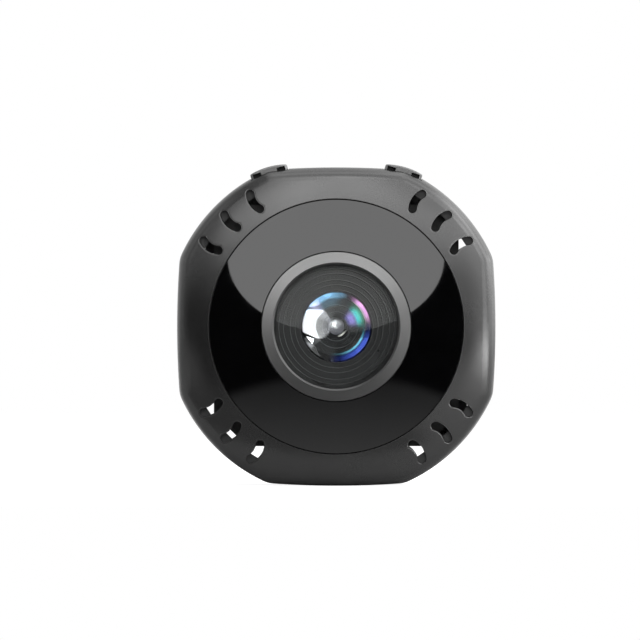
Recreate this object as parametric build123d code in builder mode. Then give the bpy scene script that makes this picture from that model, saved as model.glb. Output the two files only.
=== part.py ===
from build123d import *
from math import cos, radians, sin
import os

os.makedirs("parts", exist_ok=True)

# A palm-sized security camera. All sizes are in millimetres. The lens axis runs along Y and
# the front faces -Y. Depths are counted back from the foremost edge of the lens bezel.
# The origin is under the middle of the case, on the surface that its lower side stands on.

# Case, as seen from the front: a circle trimmed by four slightly bowed flats
case_half_width = 22.5
corner_reach_width = 1.65
flat_bow_radius = 130.0
flat_blend_radius = 4.0
case_wall = 1.15

# Case, along the lens axis
overall_depth = 24.0
panel_front_depth = 0.55
parting_board_gap = 3.1
parting_gap = 0.12
rear_wall = 1.7
dome_drop_depth = 2.5
dome_crown_height = 0.3
dome_overrun_width = 0.9
front_shoulder_radius = 2.6
rear_shoulder_radius = 2.4
lip_height = 1.2
lip_wall = 0.7
lip_width = 12.0
lip_clearance = 0.06

# Vents: arc-shaped slots that fan round each corner, in the front and in the rear
vents_per_corner = 3
vent_pitch_angle = 12.05
flat_count = 4
vent_width = 1.21
vent_length = 2.5
vent_edge_width = 1.85
vent_bulge_height = 0.32
vent_floor_thickness = 0.3
vent_blind_length = 0.7

# Dark front panel and the tape that holds it
panel_margin_width = 4.62
panel_gap = 0.17
panel_thickness = 1.0
panel_tape_thickness = 0.15
panel_tape_width = 1.2
panel_floor_thickness = 1.2

# Lens bezel, cover glass and the stepped baffle under it
bezel_radius = 10.5
bezel_bore_radius = 8.8
bezel_slope_depth = 0.4
bezel_lip_width = 0.25
cover_gap = 0.15
cover_front_depth = 0.45
cover_thickness = 0.7
baffle_clearance = 0.05
baffle_step_radii = (8.1, 7.43, 6.5, 5.8, 5.08)
baffle_step_depth = 0.55
baffle_flange_width = 1.0
baffle_flange_thickness = 0.7
mic_hole_radius = 0.18
mic_hole_ring_radius = 6.85
mic_hole_angle = -30.0

# Lens barrel and what it holds
barrel_radius = 6.0
barrel_gap = 0.1
lens_gap = 0.2
barrel_clearance = 0.03
front_lens_radius = 5.6
front_lens_clear_radius = 5.5
front_lens_curve = 13.5
front_lens_edge = 1.2
front_lens_rear_curve = 6.5
front_lens_rear_radius = 4.1
stop_step_radii = (4.1, 3.0, 2.0, 1.13)
stop_step_depth = 0.5
rear_lens_radius = 3.2
middle_lens_curve = 4.0
middle_lens_edge = 0.3
middle_lens_rear_curve = 6.8
lens_spacer_length = 1.3
lens_spacer_wall = 0.8
rear_lens_curve = 13.0
rear_lens_edge = 0.4
rear_lens_rear_curve = 10.5
retainer_length = 0.7

# Boards
sensor_filter_gap = 1.1
main_board_thickness = 1.0
main_board_side_gap = 4.05
main_board_top_gap = 2.65
main_board_bottom_gap = 4.45
main_board_edge_gap = 0.7
main_board_corner_gap = 4.0
main_board_ear_width = 1.3
main_board_ear_gap = 0.3
main_board_tab_length = 3.0
main_board_tab_half_height = 6.3
led_board_depth = 4.9
led_board_thickness = 0.8
led_board_inner_radius = 10.2
led_board_gap = 0.25
board_hole_clearance = 0.1
shield_gap = 0.1
shield_thickness = 0.6
shield_rim_width = 0.3
shield_top_gap = 4.15
shield_corner_gap = 2.1
shield_edge_gap = 1.5
shield_boss_clearance = 0.15
header_size = (7.6, 2.5)
header_offset = 12.6

# Lamps and sensors behind the front panel
led_count = 6
led_edge_width = 2.4
led_size = 2.8
led_base_thickness = 0.9
led_dome_radius = 1.15
led_hole_radius = 1.7
sensor_angle = 90.0
status_angle = 330.0
sensor_size = 1.6
sensor_thickness = 0.9
sensor_hole_radius = 1.1

# Lens holder, filter and image sensor
holder_half_width = 7.0
holder_depth = 7.4
holder_gap = 0.1
holder_corner_radius = 1.0
holder_floor = 0.5
holder_window = 6.0
filter_size = 7.2
filter_thickness = 0.3
image_sensor_size = 6.4
image_sensor_thickness = 0.6
sensor_room_size = 10.0

# Keys in the upper corners and the switches that they press
key_angle = 23.4
key_tilt = 16.0
key_proud_height = 0.4
key_crown_radius = 10.0
key_width = 5.4
key_length = 8.0
key_front_depth = 3.15
key_corner_radius = 1.0
key_edge_radius = 0.22
key_clearance = 0.1
key_travel = 0.3
key_pad_depth = 2.1
key_pad_margin = 1.3
key_flange_margin = 0.6
key_flange_thickness = 0.8
key_stem_width = 2.2
key_stem_length = 3.0
key_notch_width = 1.2
key_notch_low = -0.7
key_notch_high = -0.07
key_notch_depth = 0.6
key_notch_inset = 0.35
switch_width = 4.5
switch_thickness = 2.8
switch_height = 3.4
plunger_width = 1.6
plunger_free_length = 1.0
plunger_depth = 0.9
plunger_clearance = 0.08

# Screws
case_screw_side_gap = 3.5
case_screw_height = 8.6
case_screw_radius = 0.7
case_screw_head_radius = 1.35
case_screw_head_height = 0.9
case_screw_sink_depth = 1.5
case_screw_length = 8.5
case_boss_radius = 1.5
case_boss_rear_radius = 2.15
board_screw_edge_width = 1.4
board_screw_radius = 0.6
board_screw_head_radius = 1.2
board_screw_head_height = 0.7
board_screw_length = 5.0
board_boss_radius = 1.35
led_screw_angle = 30.0
led_screw_count = 3
led_screw_radius = 0.5
led_screw_head_radius = 0.9
led_screw_head_height = 0.5
led_screw_length = 2.2
led_post_radius = 1.0
screw_clearance = 0.03
head_clearance = 0.15
drive_width = 0.28
drive_share = 0.6
drive_depth = 0.4

# Rear plate and magnet
rear_plate_radius = 9.0
rear_plate_thickness = 0.8
rear_plate_proud_height = 0.4
rear_plate_gap = 0.1
rear_plate_chamfer = 0.15
magnet_radius = 6.0
magnet_thickness = 2.0
magnet_gap = 0.05
magnet_pocket_wall = 0.8

# Power and data
usb_size = (8.94, 3.2)
usb_length = 7.35
usb_shell_thickness = 0.3
usb_tongue = (6.7, 0.7)
usb_tongue_gap = 0.7
usb_base_thickness = 1.2
port_clearance = 0.15
socket_setback = 0.35
card_size = (15.0, 11.0)
card_thickness = 0.7
card_recess_depth = 0.3
card_corner = 0.6
card_clearance = 0.1
card_scoop_width = 2.2
card_socket_length = 14.8
card_socket_width = 13.6
card_socket_thickness = 1.7
card_socket_roof = 0.4
battery_side_gap = 6.35
battery_top_gap = 5.55
battery_speaker_gap = 2.4
battery_corner = 1.4
battery_tape_thickness = 0.2
battery_gap = 0.1
connector_size = (5.0, 3.4)
connector_height = 1.8
connector_side_gap = 3.5
connector_battery_gap = 1.0
lead_radius = 0.3
lead_pitch = 1.5
lead_bend_radius = 0.6

# Other pieces on the boards
processor_size = (9.0, 8.0)
processor_thickness = 0.9
processor_holder_gap = 1.2
thermal_pad_thickness = 0.4
heat_sink_base = 0.9
heat_sink_fin_height = 2.4
heat_sink_fins = 5
heat_sink_fin_width = 0.7
radio_size = (9.0, 11.0)
radio_thickness = 1.9
radio_holder_gap = 1.1
radio_height = -1.0
memory_size = (6.0, 5.0)
memory_thickness = 0.9
memory_centre = (-11.6, 2.0)
reset_size = (3.0, 2.6)
reset_height = 1.5
reset_offset = 11.4
reset_button_radius = 0.7
reset_button_height = 0.3
reset_floor_thickness = 0.5
reset_hole_radius = 0.6
mic_size = (2.6, 3.2)
mic_thickness = 1.1
mic_ring_radius = 7.9
antenna_size = (12.0, 5.0)
antenna_thickness = 0.2
antenna_gap = 0.2
antenna_depth = 5.5
speaker_size = (16.0, 7.6)
speaker_thickness = 3.4
speaker_corner = 1.6
speaker_wall_gap = 5.15
speaker_recess_depth = 0.6
speaker_rim_width = 0.8
speaker_hole_radius = 0.45
speaker_hole_pitch = 1.9
speaker_hole_columns = 7
speaker_hole_rows = 3

# Depths and levels that follow from the sizes above
axis_height = case_half_width
flat_angle = 360 / flat_count
case_corner_radius = case_half_width + corner_reach_width
inner_half_width = case_half_width - case_wall
panel_radius = case_half_width - panel_margin_width
vent_outer_radius = case_corner_radius - vent_edge_width
vent_inner_radius = vent_outer_radius - vent_length
main_board_half_width = inner_half_width - main_board_side_gap
inner_corner_radius = case_corner_radius - case_wall
main_board_corner_distance = inner_corner_radius - main_board_corner_gap
main_board_top = inner_half_width - main_board_top_gap
main_board_bottom = main_board_bottom_gap - inner_half_width
vent_open_radius = vent_outer_radius - vent_blind_length
board_screw_ring_radius = main_board_corner_distance - board_screw_edge_width
led_board_radius = board_screw_ring_radius - board_boss_radius - led_board_gap
led_ring_radius = led_board_radius - led_edge_width
case_screw_offset = case_half_width - case_screw_side_gap
rear_face_depth = overall_depth - rear_plate_proud_height
rear_inner_depth = rear_face_depth - rear_wall
recess_radius = panel_radius + panel_gap
panel_back = panel_front_depth + panel_thickness
floor_front = panel_back + panel_tape_thickness
floor_back = floor_front + panel_floor_thickness
cover_back = cover_front_depth + cover_thickness
baffle_radius = bezel_bore_radius - baffle_clearance
baffle_back = cover_back + baffle_step_depth * len(baffle_step_radii)
led_board_back = led_board_depth + led_board_thickness
lens_axis = Axis((0, 0, axis_height), (0, 1, 0))
section = Plane(origin=(0, -overall_depth / 2, axis_height), x_dir=(1, 0, 0), z_dir=(0, 0, 1))


def sag(curve, radius):
    """Depth of a spherical surface of radius curve, from its vertex to a radius off the axis."""
    return curve - (curve**2 - radius**2) ** 0.5


# Depths of the lens stack, worked out from its surfaces, and of the boards behind it
barrel_front = baffle_back + barrel_gap
front_lens_vertex = baffle_back + lens_gap - sag(front_lens_curve, baffle_step_radii[-1])
front_lens_edge_depth = front_lens_vertex + sag(front_lens_curve, front_lens_clear_radius)
stop_front = front_lens_edge_depth + front_lens_edge
stop_back = stop_front + stop_step_depth * len(stop_step_radii)
inner_clear_radius = rear_lens_radius - lens_spacer_wall
middle_lens_vertex = stop_back - sag(middle_lens_curve, stop_step_radii[-1])
middle_lens_seat = middle_lens_vertex + sag(middle_lens_curve, inner_clear_radius)
middle_lens_back = middle_lens_seat + middle_lens_edge
rear_lens_front = middle_lens_back + lens_spacer_length
rear_lens_back = rear_lens_front + rear_lens_edge
barrel_back = rear_lens_back + retainer_length
holder_floor_front = barrel_back + holder_gap
holder_floor_back = holder_floor_front + holder_floor
main_board_depth = holder_floor_back + filter_thickness + sensor_filter_gap + image_sensor_thickness
main_board_back = main_board_depth + main_board_thickness
parting_depth = main_board_back + parting_board_gap


def front_plane(depth):
    """Plane across the lens axis at a depth, with X to the right and Y up, facing the front."""
    origin = (0, depth - overall_depth / 2, axis_height)
    return Plane(origin=origin, x_dir=(1, 0, 0), z_dir=(0, -1, 0))


def slab(near, far, centre, size, corner=0.0, mode=Mode.ADD):
    """Block between two depths, centred on a point of the front view."""
    with BuildSketch(front_plane(far)) as profile:
        with Locations(centre):
            if corner > 0:
                RectangleRounded(*size, radius=corner)
            else:
                Rectangle(*size)
    extrude(profile.sketch, amount=far - near, mode=mode)


def disc(near, far, centres, radius, mode=Mode.ADD):
    """Round blocks or holes between two depths, one at each centre in the front view."""
    with BuildSketch(front_plane(far)) as profile:
        with Locations(*centres):
            Circle(radius)
    extrude(profile.sketch, amount=far - near, mode=mode)


def ring(inner, outer, near, far, mode=Mode.ADD):
    """Ring round the lens axis between two radii and two depths."""
    with BuildSketch(section) as profile:
        with Locations(((inner + outer) / 2, (near + far) / 2)):
            Rectangle(outer - inner, far - near)
    revolve(profile.sketch, axis=lens_axis, mode=mode)


def polar(radius, angle):
    """Point of the front view at a radius and an angle in degrees from the right."""
    return (radius * cos(radians(angle)), radius * sin(radians(angle)))


def side_plane(x, depth):
    """Plane across the X axis, with X up the case and Y towards the front, facing right."""
    return Plane(origin=(x, depth - overall_depth / 2, axis_height), x_dir=(0, 0, 1), z_dir=(1, 0, 0))


def lens_face(edge, curve, clear, bulge):
    """Arc of a lens surface from its edge to the axis. It bulges forward (-1) or back (1)."""
    half = edge + bulge * (sag(curve, clear) - sag(curve, clear / 2))
    ThreePointArc((clear, edge), (clear / 2, half), (0, edge + bulge * sag(curve, clear)))


def screws(centres, seat, shank, length, head, height):
    """Screws put in from the rear, with their heads' bearing faces at depth seat."""
    disc(seat - length, seat, centres, shank)
    disc(seat, seat + height, centres, head)
    for centre in centres:
        for size in ((2 * head * drive_share, drive_width), (drive_width, 2 * head * drive_share)):
            slab(seat + height - drive_depth, seat + height, centre, size, mode=Mode.SUBTRACT)


def case_outline(inset):
    """Case's outline on the current sketch, moved inward by inset."""
    Circle(case_corner_radius - inset)
    for number in range(flat_count):
        with PolarLocations(flat_bow_radius - case_half_width, 1, start_angle=flat_angle * number):
            Circle(flat_bow_radius - inset, mode=Mode.INTERSECT)
    fillet(vertices(), flat_blend_radius - inset)


def lip_bands(inset, depth):
    """Short bands along the middles of the four flats, for the lip that locates the shells."""
    with BuildSketch() as hole:
        case_outline(case_wall + lip_clearance + lip_wall)
    with BuildSketch() as cross:
        Rectangle(2 * case_half_width, lip_width)
        Rectangle(lip_width, 2 * case_half_width)
    with BuildSketch(front_plane(depth)) as bands:
        case_outline(inset)
        add(hole.sketch_local, mode=Mode.SUBTRACT)
        add(cross.sketch_local, mode=Mode.INTERSECT)
    return bands.sketch


def corner_cuts(distance, turns):
    """Cuts the current sketch off past a distance from the axis, square to each direction."""
    for turn in turns:
        with PolarLocations(distance + case_corner_radius, 1, start_angle=turn):
            Rectangle(2 * case_corner_radius, 2 * case_corner_radius, mode=Mode.SUBTRACT)


def vent_slots():
    """Arc-shaped slots of all four corners on the current sketch."""
    for corner_turn in corner_turns:
        for slot in range(vents_per_corner):
            turn = corner_turn + vent_pitch_angle * (slot - (vents_per_corner - 1) / 2)
            with Locations(Location((0, 0, 0), (0, 0, turn))):
                SlotArc(vent_line, height=vent_width)


def key_plane(side, depth):
    """Plane across the lens axis at a key: X along the case, Y out of it. side is 1 or -1."""
    reach = case_corner_radius
    x = side * reach * sin(radians(key_angle))
    z = axis_height + reach * cos(radians(key_angle))
    along = (cos(radians(key_tilt)), 0, -side * sin(radians(key_tilt)))
    return Plane(origin=(x, depth - overall_depth / 2, z), x_dir=along, z_dir=(0, -1, 0))


def key_slab(side, near, far, low, high, width, mode=Mode.ADD):
    """Block in a key's own directions, between two depths and two levels."""
    with BuildSketch(key_plane(side, far)) as profile:
        with Locations((0, (low + high) / 2)):
            Rectangle(width, high - low)
    extrude(profile.sketch, amount=far - near, mode=mode)


corner_angle = flat_angle / 2
corner_turns = [corner_angle + flat_angle * number for number in range(flat_count)]
vent_middle = ((vent_inner_radius + vent_outer_radius) / 2, vent_bulge_height)
vent_line = ThreePointArc((vent_inner_radius, 0), vent_middle, (vent_outer_radius, 0))
case_screw_centres = [(x * case_screw_offset, z * case_screw_height) for x in (1, -1) for z in (1, -1)]
board_screw_centres = [polar(board_screw_ring_radius, turn) for turn in corner_turns]
led_centres = [polar(led_ring_radius, 360 / led_count * number) for number in range(led_count)]
sensor_centre = polar(led_ring_radius, sensor_angle)
status_centre = polar(led_ring_radius, status_angle)
led_screw_centres = [
    polar(led_ring_radius, led_screw_angle + 360 / led_screw_count * number)
    for number in range(led_screw_count)
]
key_back_depth = key_front_depth + key_length
key_centre_depth = (key_front_depth + key_back_depth) / 2
key_flange_top = -(key_pad_depth + key_clearance)
key_flange_bottom = key_flange_top - key_flange_thickness
key_stem_end = key_flange_bottom - key_stem_length
switch_face = key_stem_end - plunger_free_length
usb_mouth = case_half_width - case_wall - port_clearance
usb_near = main_board_depth - usb_size[1]
card_socket_back = main_board_back + card_socket_thickness
card_near = card_socket_back - card_socket_roof - card_clearance - card_thickness
card_far = card_near + card_thickness
card_outer = case_half_width - card_recess_depth
card_centre = (card_outer - card_size[0] / 2, 0)
case_screw_seat = rear_face_depth - case_screw_sink_depth
case_screw_tip = case_screw_seat - case_screw_length
plate_seat = overall_depth - rear_plate_thickness
magnet_front = plate_seat - magnet_gap - magnet_thickness
pocket_front = magnet_front - magnet_gap - magnet_pocket_wall
speaker_top = speaker_wall_gap + speaker_size[1] - inner_half_width
speaker_centre = (0, speaker_top - speaker_size[1] / 2)
battery_near = card_socket_back + battery_gap
battery_back = pocket_front - battery_tape_thickness
battery_bottom = speaker_top + battery_speaker_gap
battery_top = inner_half_width - battery_top_gap
battery_size = (2 * (inner_half_width - battery_side_gap), battery_top - battery_bottom)
battery_centre = (0, (battery_top + battery_bottom) / 2)
connector_centre = (
    connector_side_gap - battery_size[0] / 2,
    battery_bottom - connector_battery_gap - connector_size[1] / 2,
)
lower_screw_top = board_screw_head_radius - board_screw_centres[0][1]
reset_centre = (reset_offset, (lower_screw_top - card_socket_width / 2) / 2)
radio_centre = (holder_half_width + radio_holder_gap + radio_size[0] / 2, radio_height)
processor_centre = (0, -holder_half_width - processor_holder_gap - processor_size[1] / 2)
reset_back = main_board_back + reset_height

# Space inside the front housing, with the bosses and pads left standing in it
with BuildPart() as front_space:
    with BuildSketch(front_plane(parting_depth)):
        case_outline(case_wall)
    extrude(amount=parting_depth - floor_back)
    disc(floor_back, parting_depth, case_screw_centres, case_boss_radius, Mode.SUBTRACT)
    disc(floor_back, main_board_depth, board_screw_centres, board_boss_radius, Mode.SUBTRACT)
    disc(floor_back, led_board_depth, led_screw_centres, led_post_radius, Mode.SUBTRACT)
    for side in (1, -1):
        key_slab(side, floor_back, key_back_depth + key_pad_margin, -key_pad_depth, key_proud_height,
                 key_width + 2 * key_pad_margin, Mode.SUBTRACT)

with BuildPart() as front_housing:
    with BuildSketch(front_plane(parting_depth)):
        case_outline(0)
    extrude(amount=parting_depth)
    with BuildSketch(section):
        with BuildLine():
            rim = (case_corner_radius + dome_overrun_width, panel_front_depth + dome_drop_depth)
            dome = SagittaArc((recess_radius, panel_front_depth), rim, -dome_crown_height)
            Polyline(rim, (rim[0], parting_depth), (0, parting_depth), (0, panel_front_depth),
                     (recess_radius, panel_front_depth))
        make_face()
    revolve(axis=lens_axis, mode=Mode.INTERSECT)
    rim_edges = edges().filter_by(Axis.Y, reverse=True).filter_by_position(
        Axis.Y, panel_front_depth + dome_crown_height - overall_depth / 2,
        panel_front_depth + dome_drop_depth - overall_depth / 2)
    fillet(rim_edges, front_shoulder_radius)
    add(front_space.part, mode=Mode.SUBTRACT)
    ring(0, recess_radius, 0, floor_front, Mode.SUBTRACT)
    ring(0, bezel_bore_radius + baffle_clearance, 0, floor_back, Mode.SUBTRACT)
    disc(floor_front, floor_back, led_centres, led_hole_radius, Mode.SUBTRACT)
    disc(floor_front, floor_back, [sensor_centre, status_centre], sensor_hole_radius, Mode.SUBTRACT)
    with BuildSketch(front_plane(floor_back - vent_floor_thickness)):
        vent_slots()
    extrude(amount=floor_back, dir=(0, -1, 0), mode=Mode.SUBTRACT)
    with BuildSketch(front_plane(floor_back + case_wall)):
        vent_slots()
        Circle(vent_open_radius, mode=Mode.INTERSECT)
    extrude(amount=floor_back + case_wall, dir=(0, -1, 0), mode=Mode.SUBTRACT)
    for side in (1, -1):
        key_slab(side, key_front_depth - key_clearance, key_back_depth + key_clearance,
                 -key_pad_depth - case_wall, key_proud_height + case_wall,
                 key_width + 2 * key_clearance, Mode.SUBTRACT)
    with BuildSketch(side_plane(-case_half_width, usb_near + usb_size[1] / 2)):
        SlotOverall(usb_size[0] + 2 * port_clearance, usb_size[1] + 2 * port_clearance)
    extrude(amount=2 * case_wall, mode=Mode.SUBTRACT)
    with BuildSketch(side_plane(case_half_width - 2 * case_wall, (card_near + card_far) / 2)):
        Rectangle(card_size[1] + 2 * port_clearance, card_thickness + 2 * port_clearance)
    extrude(amount=3 * case_wall, mode=Mode.SUBTRACT)
    with BuildSketch(side_plane(case_half_width - card_recess_depth, (card_near + card_far) / 2)):
        SlotOverall(card_size[1] + card_scoop_width, card_scoop_width)
    extrude(amount=case_wall, mode=Mode.SUBTRACT)
    disc(main_board_back - board_screw_length, main_board_depth, board_screw_centres,
         board_screw_radius + screw_clearance, Mode.SUBTRACT)
    disc(case_screw_tip, parting_depth, case_screw_centres, case_screw_radius + screw_clearance,
         Mode.SUBTRACT)
    disc(led_board_back - led_screw_length, led_board_depth, led_screw_centres,
         led_screw_radius + screw_clearance, Mode.SUBTRACT)
front_housing.part.label = "front_housing"
export_step(front_housing.part, "parts/front_housing.step")

with BuildPart() as front_panel:
    ring(bezel_radius + panel_gap, panel_radius, panel_front_depth, panel_back)
front_panel.part.label = "front_panel"
export_step(front_panel.part, "parts/front_panel.step")

with BuildPart() as panel_tape:
    ring(panel_radius - panel_tape_width, panel_radius, panel_back, floor_front)
panel_tape.part.label = "panel_tape"
export_step(panel_tape.part, "parts/panel_tape.step")

with BuildPart() as lens_bezel:
    with BuildSketch(section):
        with BuildLine():
            Polyline((bezel_bore_radius, floor_front), (bezel_radius, floor_front),
                     (bezel_radius, bezel_slope_depth), (bezel_bore_radius + bezel_lip_width, 0),
                     (bezel_bore_radius, bezel_lip_width), close=True)
        make_face()
    revolve(axis=lens_axis)
lens_bezel.part.label = "lens_bezel"
export_step(lens_bezel.part, "parts/lens_bezel.step")

with BuildPart() as cover_glass:
    ring(0, bezel_bore_radius - cover_gap, cover_front_depth, cover_back)
cover_glass.part.label = "cover_glass"
export_step(cover_glass.part, "parts/cover_glass.step")

with BuildPart() as lens_baffle:
    ring(0, baffle_radius, cover_back, baffle_back)
    ring(0, baffle_radius + baffle_flange_width, floor_back, floor_back + baffle_flange_thickness)
    for number, radius in enumerate(baffle_step_radii):
        step_front = cover_back + baffle_step_depth * number
        ring(0, radius, step_front, step_front + baffle_step_depth, Mode.SUBTRACT)
    disc(cover_back, baffle_back, [polar(mic_hole_ring_radius, mic_hole_angle)], mic_hole_radius,
         Mode.SUBTRACT)
lens_baffle.part.label = "lens_baffle"
export_step(lens_baffle.part, "parts/lens_baffle.step")

with BuildPart() as front_lens:
    with BuildSketch(section):
        with BuildLine():
            lens_face(front_lens_edge_depth, front_lens_curve, front_lens_clear_radius, -1)
            lens_face(stop_front, front_lens_rear_curve, front_lens_rear_radius, -1)
            Polyline((front_lens_clear_radius, front_lens_edge_depth),
                     (front_lens_radius, front_lens_edge_depth), (front_lens_radius, stop_front),
                     (front_lens_rear_radius, stop_front))
            Line((0, front_lens_vertex),
                 (0, stop_front - sag(front_lens_rear_curve, front_lens_rear_radius)))
        make_face()
    revolve(axis=lens_axis)
front_lens.part.label = "front_lens"
export_step(front_lens.part, "parts/front_lens.step")

with BuildPart() as stop_ring:
    ring(0, front_lens_radius, stop_front, stop_back)
    for number, radius in enumerate(stop_step_radii):
        step_front = stop_front + stop_step_depth * number
        ring(0, radius, step_front, step_front + stop_step_depth, Mode.SUBTRACT)
stop_ring.part.label = "stop_ring"
export_step(stop_ring.part, "parts/stop_ring.step")

with BuildPart() as middle_lens:
    with BuildSketch(section):
        with BuildLine():
            lens_face(middle_lens_seat, middle_lens_curve, inner_clear_radius, -1)
            lens_face(middle_lens_back, middle_lens_rear_curve, inner_clear_radius, 1)
            Polyline((inner_clear_radius, middle_lens_seat), (rear_lens_radius, middle_lens_seat),
                     (rear_lens_radius, middle_lens_back), (inner_clear_radius, middle_lens_back))
            Line((0, middle_lens_vertex),
                 (0, middle_lens_back + sag(middle_lens_rear_curve, inner_clear_radius)))
        make_face()
    revolve(axis=lens_axis)
middle_lens.part.label = "middle_lens"
export_step(middle_lens.part, "parts/middle_lens.step")

with BuildPart() as lens_spacer:
    ring(inner_clear_radius, rear_lens_radius, middle_lens_back, rear_lens_front)
lens_spacer.part.label = "lens_spacer"
export_step(lens_spacer.part, "parts/lens_spacer.step")

with BuildPart() as rear_lens:
    with BuildSketch(section):
        with BuildLine():
            lens_face(rear_lens_front, rear_lens_curve, inner_clear_radius, -1)
            lens_face(rear_lens_back, rear_lens_rear_curve, inner_clear_radius, 1)
            Polyline((inner_clear_radius, rear_lens_front), (rear_lens_radius, rear_lens_front),
                     (rear_lens_radius, rear_lens_back), (inner_clear_radius, rear_lens_back))
            Line((0, rear_lens_front - sag(rear_lens_curve, inner_clear_radius)),
                 (0, rear_lens_back + sag(rear_lens_rear_curve, inner_clear_radius)))
        make_face()
    revolve(axis=lens_axis)
rear_lens.part.label = "rear_lens"
export_step(rear_lens.part, "parts/rear_lens.step")

with BuildPart() as lens_retainer:
    ring(inner_clear_radius, rear_lens_radius, rear_lens_back, barrel_back)
lens_retainer.part.label = "lens_retainer"
export_step(lens_retainer.part, "parts/lens_retainer.step")

with BuildPart() as lens_barrel:
    ring(0, barrel_radius, barrel_front, barrel_back)
    ring(0, front_lens_radius + barrel_clearance, barrel_front, stop_back, Mode.SUBTRACT)
    ring(0, inner_clear_radius, stop_back, middle_lens_seat, Mode.SUBTRACT)
    ring(0, rear_lens_radius + barrel_clearance, middle_lens_seat, barrel_back, Mode.SUBTRACT)
lens_barrel.part.label = "lens_barrel"
export_step(lens_barrel.part, "parts/lens_barrel.step")

with BuildPart() as lens_holder:
    slab(holder_depth, main_board_depth, (0, 0), (2 * holder_half_width, 2 * holder_half_width),
         holder_corner_radius)
    ring(0, barrel_radius + barrel_clearance, holder_depth, holder_floor_front, Mode.SUBTRACT)
    slab(holder_floor_front, holder_floor_back, (0, 0), (holder_window, holder_window),
         mode=Mode.SUBTRACT)
    slab(holder_floor_back, main_board_depth, (0, 0), (sensor_room_size, sensor_room_size),
         mode=Mode.SUBTRACT)
lens_holder.part.label = "lens_holder"
export_step(lens_holder.part, "parts/lens_holder.step")

with BuildPart() as ir_filter:
    slab(holder_floor_back, holder_floor_back + filter_thickness, (0, 0), (filter_size, filter_size))
ir_filter.part.label = "ir_filter"
export_step(ir_filter.part, "parts/ir_filter.step")

with BuildPart() as image_sensor:
    slab(main_board_depth - image_sensor_thickness, main_board_depth, (0, 0),
         (image_sensor_size, image_sensor_size))
image_sensor.part.label = "image_sensor"
export_step(image_sensor.part, "parts/image_sensor.step")

with BuildPart() as main_board:
    with BuildSketch(front_plane(main_board_back)):
        with Locations((0, (main_board_top + main_board_bottom) / 2)):
            Rectangle(2 * main_board_half_width, main_board_top - main_board_bottom)
        ear_near = case_screw_height + case_boss_radius + main_board_ear_gap
        for side in (1, -1):
            ear_x = main_board_half_width + main_board_ear_width / 2
            with Locations((side * ear_x, side * (main_board_bottom - ear_near) / 2)):
                Rectangle(main_board_ear_width, -main_board_bottom - ear_near)
        Circle(inner_corner_radius - main_board_edge_gap, mode=Mode.INTERSECT)
        corner_cuts(main_board_corner_distance, corner_turns[2:3])
        Rectangle(2 * (main_board_half_width + main_board_tab_length), 2 * main_board_tab_half_height)
        with Locations(*board_screw_centres):
            Circle(board_screw_radius + board_hole_clearance, mode=Mode.SUBTRACT)
    extrude(amount=main_board_thickness)
main_board.part.label = "main_board"
export_step(main_board.part, "parts/main_board.step")

with BuildPart() as led_board:
    ring(led_board_inner_radius, led_board_radius, led_board_depth, led_board_back)
    disc(led_board_depth, led_board_back, led_screw_centres, led_screw_radius + board_hole_clearance,
         Mode.SUBTRACT)
led_board.part.label = "led_board"
export_step(led_board.part, "parts/led_board.step")

with BuildPart() as vent_shield:
    shield_back = led_board_depth - shield_gap
    shield_top = inner_half_width - shield_top_gap
    with BuildSketch(front_plane(shield_back)):
        with Locations((0, (shield_top + main_board_bottom) / 2)):
            Rectangle(2 * main_board_half_width, shield_top - main_board_bottom)
        Circle(inner_corner_radius - shield_edge_gap, mode=Mode.INTERSECT)
        corner_cuts(inner_corner_radius - shield_corner_gap, corner_turns[2:])
        Circle(led_board_radius - shield_rim_width, mode=Mode.SUBTRACT)
        with Locations(*board_screw_centres):
            Circle(board_boss_radius + shield_boss_clearance, mode=Mode.SUBTRACT)
    extrude(amount=shield_thickness)
vent_shield.part.label = "vent_shield"
export_step(vent_shield.part, "parts/vent_shield.step")

with BuildPart() as infrared_leds:
    for centre in led_centres:
        slab(led_board_depth - led_base_thickness, led_board_depth, centre, (led_size, led_size))
    with BuildSketch(front_plane(led_board_depth - led_base_thickness)):
        with Locations(*led_centres):
            Circle(led_dome_radius)
    extrude(amount=led_board_depth - led_base_thickness - floor_back - board_hole_clearance)
infrared_leds.part.label = "infrared_leds"
export_step(infrared_leds.part, "parts/infrared_leds.step")

with BuildPart() as light_sensor:
    slab(led_board_depth - sensor_thickness, led_board_depth, sensor_centre, (sensor_size, sensor_size))
light_sensor.part.label = "light_sensor"
export_step(light_sensor.part, "parts/light_sensor.step")

with BuildPart() as status_led:
    slab(led_board_depth - sensor_thickness, led_board_depth, status_centre, (sensor_size, sensor_size))
status_led.part.label = "status_led"
export_step(status_led.part, "parts/status_led.step")

with BuildPart() as board_header:
    slab(led_board_back, main_board_depth, (0, header_offset), header_size)
board_header.part.label = "board_header"
export_step(board_header.part, "parts/board_header.step")

with BuildPart() as microphone:
    with BuildSketch(front_plane(baffle_back + mic_thickness)):
        with PolarLocations(mic_ring_radius, 1, start_angle=mic_hole_angle):
            Rectangle(*mic_size)
    extrude(amount=mic_thickness)
microphone.part.label = "microphone"
export_step(microphone.part, "parts/microphone.step")


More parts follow.
